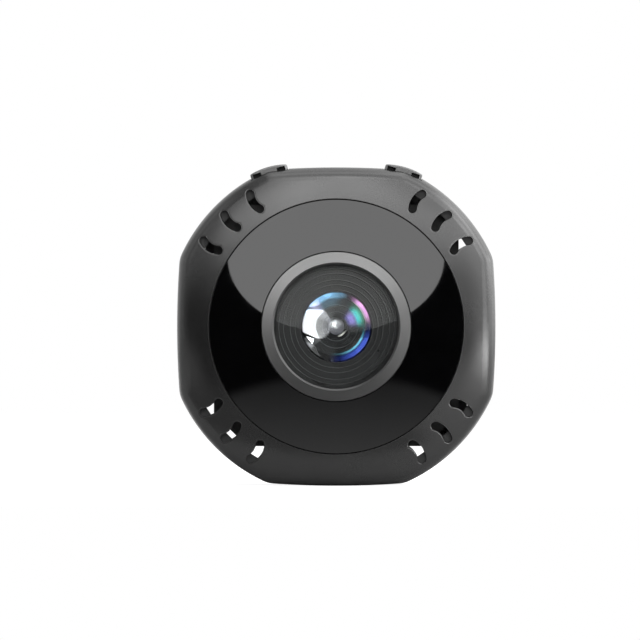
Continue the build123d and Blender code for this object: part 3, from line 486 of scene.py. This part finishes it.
# The front lens's mirrored tint in sectors, with the shapes of its reflections painted in as a higher
# share:
# middle in degrees, half width, softness, highest level in millimetres above the axis, then colours
# outward at radii in millimetres
SECTORS_OF_TINT_AND_PAINTED_REFLECTION = (
    (116.0, 36.0, 14.0, FAR_UP, (  # blue arc at the top
        (0.0, DARK), (2.85, DARK), (3.05, (0.02, 0.045, 0.06)), (3.95, (0.035, 0.07, 0.10)),
        (4.15, (0.06, 0.13, 0.20)), (4.6, (0.075, 0.16, 0.25)), (5.1, (0.05, 0.11, 0.19)))),
    (138.0, 10.0, 9.0, FAR_UP, (  # lilac end of that arc
        (0.0, DARK), (2.9, (0.03, 0.03, 0.04)), (3.3, (0.14, 0.12, 0.20)),
        (4.4, (0.24, 0.19, 0.26)), (4.8, (0.06, 0.06, 0.08)))),
    (173.0, 47.0, 4.0, 2.45, (  # bright window at the left
        (0.0, (0.10, 0.10, 0.10)), (1.2, (0.04, 0.04, 0.045)), (2.80, (0.12, 0.12, 0.12)),
        (2.95, PATCH), (4.64, PATCH), (4.78, PATCH_EDGE), (5.1, PATCH_EDGE))),
    (24.0, 24.0, 16.0, FAR_UP, (  # violet and green bands at the right
        (1.5, DARK), (1.9, (0.07, 0.06, 0.20)), (2.45, (0.16, 0.13, 0.34)), (2.85, (0.10, 0.12, 0.24)),
        (3.1, (0.04, 0.28, 0.31)), (3.4, (0.05, 0.33, 0.30)), (3.85, (0.03, 0.15, 0.10)),
        (4.1, (0.03, 0.05, 0.04)), (4.2, (0.05, 0.04, 0.05)))),
    (33.0, 20.0, 18.0, FAR_UP, (  # pink arc outside them
        (4.12, (0.0, 0.0, 0.0)), (4.18, (0.20, 0.20, 0.20)), (4.28, (0.14, 0.08, 0.14)),
        (4.4, (0.28, 0.13, 0.28)), (4.75, (0.30, 0.12, 0.28)), (5.1, (0.12, 0.06, 0.15)))),
    (312.0, 44.0, 14.0, FAR_UP, (  # crescent, thin light blue arc and deep blue arc low at the right
        (1.25, DARK), (1.32, CRESCENT), (1.46, CRESCENT), (1.53, DARK), (3.72, DARK),
        (3.84, (0.12, 0.38, 0.50)), (3.97, (0.12, 0.38, 0.50)), (4.1, (0.02, 0.04, 0.14)),
        (4.4, (0.045, 0.08, 0.40)), (4.9, (0.06, 0.09, 0.42)), (5.1, (0.10, 0.06, 0.30)))),
    (232.0, 36.0, 8.0, FAR_UP, (  # dim patch low at the left
        (0.0, DARK), (2.6, NEAR_DARK), (3.1, (0.10, 0.10, 0.10)), (5.1, (0.10, 0.10, 0.10)))),
)
LENS_RIM = 5.6  # radius at which the ramps of these colours end
LEVEL_SOFT = 0.12  # softness of a sector's highest level
LENS_DEPTH = 0.3  # how far behind its vertex the front surface is told from the back
BACK_SHARE = 0.01  # mirrored by the back of the front lens
LEAST_SHARE = 0.012  # mirrored by its front where the sectors give less


def tint_and_painted_reflection(tree):
    """Mirrored share and colour of the front lens, by radius and by turn round the lens axis:
    a tint, with the shapes of its reflections painted in as a higher share.
    """
    depth, radius, turn = axis_polar(tree)
    level = parts_of(tree, object_place(tree, (0, 0, -AXIS_Z)))[2]
    along = math(tree, "DIVIDE", radius, LENS_RIM)
    total = None
    for middle, half, soft, top, stops in SECTORS_OF_TINT_AND_PAINTED_REFLECTION:
        round_away = math(tree, "WRAP", math(tree, "SUBTRACT", turn, middle / 360), 0.5, -0.5)
        away = math(tree, "ABSOLUTE", round_away)
        weight = remap(tree, away, (half - soft) / 360, (half + soft) / 360, 1.0, 0.0, smooth=True)
        below = remap(tree, level, top - LEVEL_SOFT, top + LEVEL_SOFT, 1.0, 0.0)
        weight = math(tree, "MULTIPLY", weight, below)
        colours = ramp(tree, along, [(radius / LENS_RIM, colour) for radius, colour in stops])
        sector = scaled(tree, colours, weight)
        total = sum_of(tree, total, sector) if total else sector
    red, green, blue = parts_of(tree, total)
    most = math(tree, "MAXIMUM", math(tree, "MAXIMUM", red, green), blue)
    most = math(tree, "MAXIMUM", most, LEAST_SHARE)
    sag = math(tree, "DIVIDE", math(tree, "POWER", radius, 2.0), 2 * LENS_CURVE)
    front = math(tree, "LESS_THAN", math(tree, "SUBTRACT", depth, sag),
                 FRONT_Y + LENS_VERTEX + LENS_DEPTH)
    back = math(tree, "MULTIPLY", math(tree, "SUBTRACT", 1.0, front), BACK_SHARE)
    share = math(tree, "ADD", math(tree, "MULTIPLY", front, most), back)
    bright = scaled(tree, total, math(tree, "DIVIDE", 1.0, most))
    return share, blend(tree, front, (1.0, 1.0, 1.0), bright)


paint(glass("cover_glass", 0.008), "cover_glass")
# The front lens mirrors a tinted share with its reflections' shapes painted in; the softboxes give their
# light
paint(glass("lens_tint_and_painted_reflection", tint_and_painted_reflection, flatten=0.5), "front_lens")


def bulb(tree):
    """Mirrored share and colour of the front of the second lens, which shows as a pearly bulb."""
    coordinate = node(tree, "ShaderNodeTexCoord")
    front = math(tree, "LESS_THAN", parts_of(tree, coordinate.outputs["Normal"])[1], -0.3)
    return math(tree, "MULTIPLY", front, 0.45), None


paint(glass("bulb_glass", bulb, None, (0.35, 0.33, 0.42), 0.28, haze=(0.13, 0.12, 0.17)),
      "middle_lens")
paint(glass("lens_glass", 0.05, (0.7, 0.8, 1.0)), "rear_lens")
paint(glass("filter_glass", 0.1, (0.9, 0.3, 0.4), (0.75, 0.95, 0.9)), "ir_filter")


# ---------------------------------------------------------------- inside and behind

DOT_SOFT = 0.05


def pattern_dots(tree, pitch, size):
    """Square grid of round dots over X and Z."""
    x, _, z = parts_of(tree, object_place(tree))
    legs = []
    for value in (x, z):
        cell = math(tree, "SUBTRACT", math(tree, "FRACT", math(tree, "DIVIDE", value, pitch)), 0.5)
        legs.append(math(tree, "POWER", math(tree, "MULTIPLY", cell, pitch), 2.0))
    away = math(tree, "SQRT", math(tree, "ADD", *legs))
    return remap(tree, away, size / 2 - DOT_SOFT, size / 2 + DOT_SOFT, 1.0, 0.0, smooth=True)


def stripes(tree, value, pitch, share):
    """1 on a share of each step of a value, 0 between."""
    part = math(tree, "FRACT", math(tree, "DIVIDE", value, pitch))
    return math(tree, "LESS_THAN", part, share)


def pads(t):
    """Gilt pads of a board, on a grid of 2.54 mm."""
    return pattern_dots(t, 2.54, 0.5)


def board(name):
    """Circuit board: tracks under a black mask, gilt pads, and plies on its edge."""
    def tracks(t):
        flat = object_place(t, scale=(1, 0, 1))
        return remap(t, cell_edges(t, flat, 0.55), 0.02, 0.06, 1.0, 0.0)

    def colour(t):
        mask = blend(t, tracks(t), (0.010, 0.010, 0.011), (0.022, 0.022, 0.024))
        face = blend(t, pads(t), mask, (0.62, 0.42, 0.16))
        _, y, _ = parts_of(t, object_place(t))
        plies = blend(t, stripes(t, y, 0.2, 0.5), (0.16, 0.12, 0.06), (0.24, 0.19, 0.10))
        return blend(t, math(t, "GREATER_THAN", face_along(t, 1), 0.5), plies, face)

    return surface(
        name, colour, lambda t: remap(t, pads(t), 0.0, 1.0, 0.3, 0.22),
        lambda t: bump(t, math(t, "ADD", tracks(t), noise(t, object_place(t), 3.0)), 0.01),
        Metallic=lambda t: math(t, "MULTIPLY", pads(t), face_along(t, 1)))


paint(board("board_mask"), "main_board", "led_board")


def chip(name, x0, x1, z0, z1):
    """Black epoxy package with a frosted top and a moulded dimple in its corner."""
    def dimple(t):
        x, _, z = parts_of(t, object_place(t))
        away = length(t, math(t, "SUBTRACT", x, x0 + 0.9), math(t, "SUBTRACT", z, z1 - 0.9))
        return remap(t, away, 0.3, 0.36, 0.0, 1.0, smooth=True)

    def colour(t):
        x, _, z = parts_of(t, object_place(t))
        top = math(t, "MULTIPLY", band(t, x, x0 + 0.2, x1 - 0.2, 0.02),
                   band(t, z, z0 + 0.2, z1 - 0.2, 0.02))
        frosted = ramp(t, grained(t, 0.05)[0], ((0.3, 0.012), (0.7, 0.018)))
        return blend(t, top, (0.03, 0.03, 0.03), frosted)

    def height(t):
        return math(t, "ADD", dimple(t), math(t, "MULTIPLY", grained(t, 0.05)[1], 0.2))
    return surface(name, colour, lambda t: remap(t, dimple(t), 0.0, 1.0, 0.25, 0.55),
                   lambda t: bump(t, height(t), 0.03))


paint(chip("processor_epoxy", -4.5, 4.5, 6.3, 14.3), "processor")
paint(chip("memory_epoxy", -14.6, -8.6, 22.0, 27.0), "memory_chip")


def grille(t):
    """Holes in the speaker's face."""
    facing = math(t, "GREATER_THAN", face_along(t, 1), 0.5)
    return math(t, "MULTIPLY", pattern_dots(t, 0.8, 0.45), facing)


# painted shade: the holes near black against the face, and bumped in
paint(surface("speaker_mesh",
              lambda t: blend(t, grille(t), (0.035, 0.035, 0.036), (0.003, 0.003, 0.003)), 0.4,
              lambda t: bump(t, math(t, "SUBTRACT", 1.0, grille(t)), 0.1)), "speaker")

paint(brushed("can_metal", (0.62, 0.61, 0.58), 0.3, (0.4, 12, 12)), "radio_module")
paint(moulded("microphone_mesh", (0.004, 0.004, 0.004), 0.6, 0.1), "microphone")
paint(brushed("socket_metal", (0.56, 0.56, 0.57), 0.26, (8, 8, 0.5)), "card_socket")
paint(brushed("sink_metal", (0.03, 0.03, 0.032), 0.4, (8, 8, 0.4)), "heat_sink")
paint(brushed("plate_steel", (0.50, 0.50, 0.51), 0.3, (0.15, 14, 14)), "rear_plate")
paint(moulded("magnet_nickel", (0.62, 0.60, 0.56), 0.2, 0.5, 0.01, Metallic=1.0), "magnet")
paint(moulded("screw_steel", (0.06, 0.06, 0.065), 0.32, 0.1, 0.004, Metallic=1.0),
      "case_screws", "board_screws", "led_board_screws")


def drawn(t, detail=3.0):
    """Marks of a drawn steel shell."""
    return noise(t, object_place(t, scale=(0.6, 9, 9)), 1.0, detail)


def usb_shell(t):
    """Steel shell, with a black tongue and gilt contacts inside it."""
    _, y, z = parts_of(t, object_place(t))
    tongue = math(t, "MULTIPLY", band(t, y, -0.62, 0.25, 0.01),
                  band(t, z, AXIS_Z - 3.4, AXIS_Z + 3.4, 0.01))
    contacts = math(t, "MULTIPLY", stripes(t, math(t, "SUBTRACT", z, AXIS_Z), 0.5, 0.5),
                    band(t, z, AXIS_Z - 2.9, AXIS_Z + 2.9, 0.01))
    inside = blend(t, contacts, (0.012, 0.012, 0.013), (0.72, 0.50, 0.20))
    return blend(t, tongue, ramp(t, drawn(t, 4.0), ((0.3, 0.42), (0.7, 0.62))), inside)


paint(surface("usb_steel", usb_shell, lambda t: remap(t, drawn(t), 0.3, 0.7, 0.22, 0.34),
              lambda t: bump(t, drawn(t), 0.003), Metallic=0.9), "usb_socket")


def card_contacts(t):
    """Gilt contacts on the front of the memory card."""
    x, _, z = parts_of(t, object_place(t))
    coordinate = node(t, "ShaderNodeTexCoord")
    front = math(t, "LESS_THAN", parts_of(t, coordinate.outputs["Normal"])[1], -0.5)
    fingers = math(t, "MULTIPLY", band(t, x, 7.6, 10.4, 0.02),
                   stripes(t, math(t, "SUBTRACT", z, 17.9), 1.1, 0.72))
    inside = band(t, z, 17.8, 27.3, 0.02)
    return math(t, "MULTIPLY", math(t, "MULTIPLY", fingers, inside), front)


def card_colour(t):
    black = ramp(t, grained(t, 0.08)[0], ((0.35, 0.014), (0.65, 0.02)))
    return blend(t, card_contacts(t), black, (0.75, 0.53, 0.2))


paint(surface("card_plastic", card_colour, lambda t: remap(t, card_contacts(t), 0.0, 1.0, 0.42, 0.2),
              lambda t: bump(t, grained(t, 0.08)[1], 0.006), Metallic=card_contacts), "memory_card")


def foil(t):
    return noise(t, object_place(t), 0.35, 5.0, 0.6)


def foil_colour(t):
    """Silver pouch with a band of brown tape near its top."""
    _, _, z = parts_of(t, object_place(t))
    silver = ramp(t, foil(t), ((0.3, (0.50, 0.51, 0.53)), (0.7, (0.66, 0.67, 0.69))))
    return blend(t, band(t, z, 15.9, 18.6, 0.02), silver, (0.45, 0.22, 0.03))


paint(surface("battery_foil", foil_colour, lambda t: remap(t, foil(t), 0.3, 0.7, 0.24, 0.4),
              lambda t: bump(t, foil(t), 0.12),
              Metallic=lambda t: remap(t, parts_of(t, object_place(t))[2], 18.55, 18.65, 0.1, 0.95)),
      "battery")


def sleeve_colour(t):
    """One red lead and one black."""
    second = math(t, "GREATER_THAN", parts_of(t, object_place(t))[0], -11.5)
    return blend(t, second, (0.5, 0.012, 0.01), (0.012, 0.012, 0.012))


paint(surface("lead_sleeve", sleeve_colour, 0.4, lambda t: bump(t, grained(t, 0.1)[1], 0.008)),
      "battery_leads")


def antenna_lines(t):
    return stripes(t, parts_of(t, object_place(t))[2], 1.5, 0.6)


def antenna_colour(t):
    copper = ramp(t, grained(t, 0.2)[0], ((0.3, (0.50, 0.24, 0.05)), (0.7, (0.62, 0.32, 0.08))))
    return blend(t, antenna_lines(t), (0.32, 0.13, 0.02), copper)


paint(surface("antenna_film", antenna_colour, 0.3, lambda t: bump(t, antenna_lines(t), 0.02)), "antenna")
paint(moulded("foam_tape", (0.02, 0.02, 0.02), 0.85, 0.25, 0.05, 0.3), "panel_tape", "battery_tape")
paint(moulded("pad_silicone", (0.35, 0.38, 0.42), 0.7, 0.3, 0.02), "thermal_pad")


def lamp_dies(t):
    """Small square die in the middle of each infrared lamp."""
    _, radius, turn = axis_polar(t)
    sixth = math(t, "FRACT", math(t, "ADD", math(t, "MULTIPLY", turn, LED_COUNT), 0.5))
    part = math(t, "MULTIPLY", math(t, "SUBTRACT", sixth, 0.5), 2 * pi / LED_COUNT)
    across = math(t, "ABSOLUTE", math(t, "MULTIPLY", radius, math(t, "SINE", part)))
    outward = math(t, "MULTIPLY", radius, math(t, "COSINE", part))
    along = math(t, "ABSOLUTE", math(t, "SUBTRACT", outward, LED_RING))
    return remap(t, math(t, "MAXIMUM", across, along), 0.45, 0.5, 1.0, 0.0)


def resin_colour(t):
    clear = ramp(t, noise(t, object_place(t), 1.5), ((0.3, 0.30), (0.7, 0.36)))
    return blend(t, lamp_dies(t), clear, (0.5, 0.36, 0.12))


paint(surface("lamp_resin", resin_colour, 0.12, lambda t: bump(t, grained(t, 0.4)[1], 0.004),
              Coat_Weight=0.6), "infrared_leds", "status_led")


def sensor_sites(t):
    """Iridescent field of the sensor on its grey package."""
    x, _, z = parts_of(t, object_place(t, (0, 0, -AXIS_Z)))
    die = math(t, "MULTIPLY", band(t, x, -2.5, 2.5, 0.02), band(t, z, -1.9, 1.9, 0.02))
    package = ramp(t, grained(t, 0.1)[0], ((0.3, 0.10), (0.7, 0.13)))
    hues = (0.3, (0.02, 0.05, 0.09)), (0.5, (0.03, 0.08, 0.05)), (0.7, (0.08, 0.04, 0.07))
    sites = ramp(t, noise(t, object_place(t, scale=(0.3, 0.3, 0.3)), 1.0), hues)
    return blend(t, die, package, sites)


paint(surface("sensor_silicon", sensor_sites, 0.18,
              lambda t: bump(t, pattern_dots(t, 0.1, 0.08), 0.002)), "image_sensor", "light_sensor")


# ---------------------------------------------------------------- camera and lights

def at(x, y, z):
    """Point in metres from millimetres: right and up from the lens axis, forward of the bezel."""
    return Vector((x * MM, (FRONT_Y - y) * MM, (AXIS_Z + z) * MM))


PIXEL = 0.14098  # millimetres of the object in one pixel of the picture
FOCAL_LENGTH, SENSOR_WIDTH = 598.5, 36.0
CAMERA_DISTANCE = 1500.0
CAMERA_X, CAMERA_Z = -2.3, 0.93  # from the lens axis
# Round lamps all round the front: tilt off the lens axis, turn round it, and radiance as small ones
LAMPS = (
    (32, 30, 0.67), (32, 60, 1.79), (32, 90, 1.5), (32, 120, 2.12),
    (52, 0, 1.7), (52, 30, 1.26), (52, 90, 1.6), (52, 150, 0.46),
    (75, 0, 1.07), (75, 30, 4.0), (75, 52, 3.2), (75, 90, 2.4), (75, 120, 0.73), (75, 150, 0.93),
    (75, 180, 0.28),
    (100, 0, 3.62), (100, 30, 4.4), (100, 60, 2.2), (100, 90, 2.4), (100, 150, 0.78),
    (100, 180, 0.61),
    (130, 0, 1.3), (130, 30, 1.3), (130, 60, 1.3), (130, 120, 0.7), (130, 165, 0.4),
)
SMALL_LAMP, LARGE_LAMP, LARGE_TILT = 210.0, 330.0, 60  # diameters, and the tilt of the large ones
# Lamps for the rim of the front, and for the bezel alone: turn and radiance
RIM_LAMPS = ((36, 1.9), (60, 2.4), (84, 1.7), (108, 1.3))
RIM_TILT, RIM_DIAMETER, RIM_DISTANCE = 54, 110.0, 410.0
BEZEL_LAMPS = ((30, 0.86), (60, 4.15), (120, 2.42), (150, 4.09))
BEZEL_TILT, BEZEL_DIAMETER, BEZEL_DISTANCE = 32, 200.0, 380.0
FLOOR_HALF, FLOOR_FRONT, FLOOR_BACK = 0.9, -0.172, 1.2  # in metres
FLOOR_WHITE = 0.9  # added to the floor for the camera alone

camera = bpy.data.objects.new("camera", bpy.data.cameras.new("camera"))
camera.data.lens = FOCAL_LENGTH
camera.data.sensor_width = SENSOR_WIDTH
camera.data.clip_start = 0.01
camera.data.clip_end = 20.0
camera.location = at(CAMERA_X, CAMERA_DISTANCE, CAMERA_Z)
camera.rotation_euler = (radians(90), 0, 0)
scene.collection.objects.link(camera)
scene.camera = camera


def lamp(name, shape, place, target, size, radiance, size_y=None):
    """Soft area lamp that no camera ray sees. radiance is what a mirror shows of it."""
    data = bpy.data.lights.new(name, "AREA")
    data.shape = shape
    data.size = size * MM
    area = pi * (size * MM / 2) ** 2
    if size_y is not None:
        data.size_y = size_y * MM
        area *= size_y / size
    if shape == "RECTANGLE":
        area *= 4 / pi
    data.energy = radiance * area * pi
    made = bpy.data.objects.new(name, data)
    made.location = place
    made.rotation_euler = (target - place).to_track_quat("-Z", "Y").to_euler()
    made.visible_camera = False
    scene.collection.objects.link(made)
    return made


def panel_mirrored(x, z, distance):
    """Point that the flat panel mirrors to the camera at x and z pixels from the lens axis."""
    grow = 1 + distance / CAMERA_DISTANCE
    return at(CAMERA_X + (x * PIXEL - CAMERA_X) * grow, distance,
              CAMERA_Z + (z * PIXEL - CAMERA_Z) * grow)


def mirror_ellipse(name, x, z, half_width, half_height, distance, radiance):
    """Lamp whose reflection in the panel is an ellipse of that place and size in pixels."""
    place = panel_mirrored(x, z, distance)
    grow = 2 * PIXEL * (1 + distance / CAMERA_DISTANCE)
    lamp(name, "ELLIPSE", place, place + Vector((0, 1, 0)), half_width * grow, radiance,
         half_height * grow)


def round_lamp(name, tilt, turn, diameter, radiance, distance=400.0):
    """Round lamp at an angle off the lens axis and a turn round it."""
    side = distance * sin(radians(tilt))
    place = at(side * cos(radians(turn)), distance * cos(radians(tilt)), side * sin(radians(turn)))
    return lamp(name, "DISK", place, at(0, 0, 0), diameter, radiance)


def receiver_set(name, *names):
    """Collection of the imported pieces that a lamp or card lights."""
    made = bpy.data.collections.new(name)
    for each in names:
        made.objects.link(nodes[each])
    return made


bezel_only = receiver_set("bezel_only", "lens_bezel")
mirror_ellipse("lamp_front", -0.3, 68.8, 108.3, 75.4, 450.0, 3.7)
for tilt, turn, radiance in LAMPS:
    diameter = SMALL_LAMP if tilt < LARGE_TILT else LARGE_LAMP
    round_lamp("lamp_%d_%d" % (tilt, turn), tilt, turn, diameter,
               radiance * (SMALL_LAMP / diameter) ** 2)
for turn, radiance in RIM_LAMPS:
    round_lamp("lamp_rim_%d" % turn, RIM_TILT, turn, RIM_DIAMETER, radiance, RIM_DISTANCE)
lamp("lamp_right", "RECTANGLE", at(104, 55, -14), at(18, 0, -6), 80.0, 7.0, 14.0)
for turn, radiance in BEZEL_LAMPS:
    made = round_lamp("lamp_ring_%d" % turn, BEZEL_TILT, turn, BEZEL_DIAMETER, radiance,
                      BEZEL_DISTANCE)
    made.light_linking.receiver_collection = bezel_only


def camera_sees(tree):
    """1 where the camera sees a surface or the world itself, 0 for all other light."""
    return node(tree, "ShaderNodeLightPath").outputs["Is Camera Ray"]


def seen_white(tree, strength):
    """Light that only camera rays see."""
    glow = node(tree, "ShaderNodeEmission")
    glow.inputs["Strength"].default_value = strength
    dark = node(tree, "ShaderNodeEmission")
    dark.inputs["Strength"].default_value = 0.0
    return mix_shaders(tree, camera_sees(tree), dark.outputs[0], glow.outputs[0])


def mesh_object(name, points, faces, shader):
    """Mesh in the scene, with a material whose surface is what shader gives for its tree."""
    mesh = bpy.data.meshes.new(name)
    mesh.from_pydata(points, [], faces)
    material, tree, output = new_material(name)
    link(tree, shader(tree), output.inputs["Surface"])
    mesh.materials.append(material)
    made = bpy.data.objects.new(name, mesh)
    scene.collection.objects.link(made)
    return made


def floor_shader(tree):
    return add_shaders(tree, matt_grey(tree, 0.2, 0.38, 0.42), seen_white(tree, FLOOR_WHITE))


floor = mesh_object("floor", [(-FLOOR_HALF, FLOOR_FRONT, 0), (FLOOR_HALF, FLOOR_FRONT, 0),
                              (FLOOR_HALF, FLOOR_BACK, 0), (-FLOOR_HALF, FLOOR_BACK, 0)],
                    [(0, 1, 2, 3)], floor_shader)

world = bpy.data.worlds.new("world")
scene.world = world
world.use_nodes = True
tree = world.node_tree
tree.nodes.clear()
output = node(tree, "ShaderNodeOutputWorld")
coordinate = node(tree, "ShaderNodeTexCoord")
_, depth, _ = parts_of(tree, coordinate.outputs["Generated"])
room = node(tree, "ShaderNodeBackground")  # dark on the camera's side, light behind the object
room_greys = ramp(tree, remap(tree, depth, -0.3, 0.9, 0.0, 1.0), ((0.0, 0.01), (0.4, 0.2), (1.0, 0.9)))
link(tree, room_greys, room.inputs["Color"])
white = node(tree, "ShaderNodeBackground")
white.inputs["Color"].default_value = (1, 1, 1, 1)
seen = mix_shaders(tree, camera_sees(tree), room.outputs[0], white.outputs[0])
link(tree, seen, output.inputs["Surface"])


# ---------------------------------------------------------------- softboxes and flags

FAR, NEAR = 500.0, 38.0  # distances of the lens's softboxes; the near ones stay above the floor
ARC_COLUMNS, ARC_ROWS = 16, 4
# The panel's low softbox: its grid in pixels, then the disc of light on it
LOW_COLUMNS, LOW_ROWS, LOW_STEP, LOW_TOP, LOW_DISTANCE = 66, 23, 4.0, -44.0, 299.0
DISC_RADIUS, DISC_MIDDLE, DISC_SOFT = 283.0, -331.8, 14.0
DISC_GLOW, DISC_GAIN, DISC_LEVEL = 0.29, 0.0075, -62.0  # glow at a level, and its gain downward
# The strips beside the case: radius, start behind the bezel's edge, depth, and fade in degrees
STRIP_COLUMNS, STRIP_ROWS = 16, 8
STRIP_RADIUS, STRIP_START, STRIP_DEPTH, STRIP_FADE = 28.0, 5.0, 22.0, 14
front_shell = receiver_set("front_shell", "front_housing")
front_glass = receiver_set("front_glass", "front_lens")


def mirrored(x, z, distance):
    """Point that the front lens mirrors to the camera at x and z pixels from its middle."""
    x, z = x * PIXEL, z * PIXEL
    radius = max(hypot(x, z), 1e-6)
    tilt = asin(radius / LENS_CURVE)
    way = Vector((sin(tilt) * x / radius, -cos(tilt), sin(tilt) * z / radius))
    return at(x, -LENS_VERTEX, z) + way * distance * MM


def card(name, points, faces, glow, radiance, receivers):
    """Softbox that only some pieces mirror. glow is its strength at each point."""
    def shader(tree):
        light = node(tree, "ShaderNodeEmission")
        attribute = node(tree, "ShaderNodeAttribute", attribute_name="glow")
        link(tree, math(tree, "MULTIPLY", attribute.outputs["Fac"], radiance),
             light.inputs["Strength"])
        through = node(tree, "ShaderNodeBsdfTransparent")
        return add_shaders(tree, light.outputs[0], through.outputs[0])

    made = mesh_object(name, points, faces, shader)
    strength = made.data.attributes.new("glow", "FLOAT", "POINT")
    for number, value in enumerate(glow):
        strength.data[number].value = value
    made.visible_camera = False
    made.visible_shadow = False
    made.visible_diffuse = False
    made.light_linking.receiver_collection = receivers


def grid_card(name, columns, rows, place, glow, radiance, receivers):
    """Softbox on a grid. place and glow are functions of a point's column and row."""
    spots = [(column, row) for row in range(rows + 1) for column in range(columns + 1)]
    faces = []
    for row in range(rows):
        for column in range(columns):
            corner = row * (columns + 1) + column
            faces.append((corner, corner + 1, corner + columns + 2, corner + columns + 1))
    card(name, [place(*spot) for spot in spots], faces, [glow(*spot) for spot in spots], radiance,
         receivers)


def arc_card(name, turn_from, turn_to, near, far, radiance, fade, distance=FAR):
    """Curved softbox between two turns and two radii in pixels, fading over fade degrees."""
    def turn_of(column):
        return turn_from + (turn_to - turn_from) * column / ARC_COLUMNS

    def place(column, row):
        radius, turn = near + (far - near) * row / ARC_ROWS, radians(turn_of(column))
        return mirrored(radius * cos(turn), radius * sin(turn), distance)

    def glow(column, row):
        turn = turn_of(column)
        return min(1.0, (turn - turn_from) / fade, (turn_to - turn) / fade)
    grid_card(name, ARC_COLUMNS, ARC_ROWS, place, glow, radiance, front_glass)


def shaped_card(name, outline, radiance, distance=FAR):
    """Flat softbox of an outline in pixels."""
    points = [mirrored(x, z, distance) for x, z in outline]
    card(name, points, [tuple(range(len(points)))], [1.0] * len(points), radiance, front_glass)


def low_card():
    """Wide softbox that the panel mirrors low down: a disc with a soft edge, brighter below."""
    def pixel(column, row):
        return (column - LOW_COLUMNS / 2) * LOW_STEP, LOW_TOP - row * LOW_STEP

    def place(column, row):
        return panel_mirrored(*pixel(column, row), LOW_DISTANCE)

    def glow(column, row):
        x, z = pixel(column, row)
        inside = DISC_RADIUS - hypot(x, z - DISC_MIDDLE)
        edge = min(1.0, max(0.0, (inside + DISC_SOFT / 2) / DISC_SOFT))
        return edge * edge * (3 - 2 * edge) * (DISC_GLOW + DISC_GAIN * (DISC_LEVEL - z))
    grid_card("card_panel", LOW_COLUMNS, LOW_ROWS, place, glow, 1.0,
              receiver_set("panel_only", "front_panel"))


def rim_card(name, turn_from, turn_to, radiance):
    """Soft strip beside the case that its front shell mirrors, for the lighter rim low down."""
    def turn_of(column):
        return turn_from + (turn_to - turn_from) * column / STRIP_COLUMNS

    def place(column, row):
        turn = radians(turn_of(column))
        return at(STRIP_RADIUS * cos(turn), -STRIP_START - STRIP_DEPTH * row / STRIP_ROWS,
                  STRIP_RADIUS * sin(turn))

    def glow(column, row):
        turn = turn_of(column)
        return min(1.0, row / 2, (STRIP_ROWS - row) / 2, (turn - turn_from) / STRIP_FADE,
                   (turn_to - turn) / STRIP_FADE)
    grid_card(name, STRIP_COLUMNS, STRIP_ROWS, place, glow, radiance, front_shell)


def flag(name, corners, level):
    """Black or grey card that the body mirrors instead of the floor."""
    made = mesh_object(name, corners, [(0, 1, 2, 3)],
                       lambda t: matt_grey(t, 0.5, 0.9 * level, 1.1 * level))
    made.visible_camera = False
    made.visible_shadow = False
    made.visible_diffuse = False


low_card()
rim_card("card_rim_left", 180, 232, 0.6)
rim_card("card_rim_right", 304, 352, 0.6)
flag("flag_left", [at(-33, 45, -22), at(-59, 65, -22), at(-59, 65, -4), at(-33, 45, -4)], 0.003)
flag("flag_low", [at(-60, 9, -22.1), at(18, 9, -22.1), at(18, 150, -22.1), at(-60, 150, -22.1)],
     0.16)
shaped_card("card_window", [(-36, 17.4), (-14, 16.3), (-2.9, 14), (-7.3, -7.6), (-11.7, -14.8),
                            (-20.6, -11.4), (-36, -4.6)], 3.2)
shaped_card("card_corner", [(-30.5, -10.0), (-22.6, -12.8), (-24.5, -17.6)], 8.0, NEAR)
shaped_card("card_dim", [(-36, -14), (-25, -17.5), (-20.6, -20.9), (-16, -31), (-24, -36),
                         (-36, -26)], 0.75, NEAR)
arc_card("card_top", 74, 162, 19, 37, 1.6, 24)
arc_card("card_right", -6, 66, 10, 37, 2.2, 24)
arc_card("card_low", -82, -2, 24, 37, 1.0, 24, NEAR)
arc_card("card_crescent", -84, -24, 8.6, 10.8, 3.0, 20, NEAR)
lamp_bulb = round_lamp("lamp_bulb", 15.0, 135.0, 90.0, 11.0, 300.0)
lamp_bulb.light_linking.receiver_collection = receiver_set("bulb_glass", "middle_lens")

scene.view_settings.view_transform = "Standard"
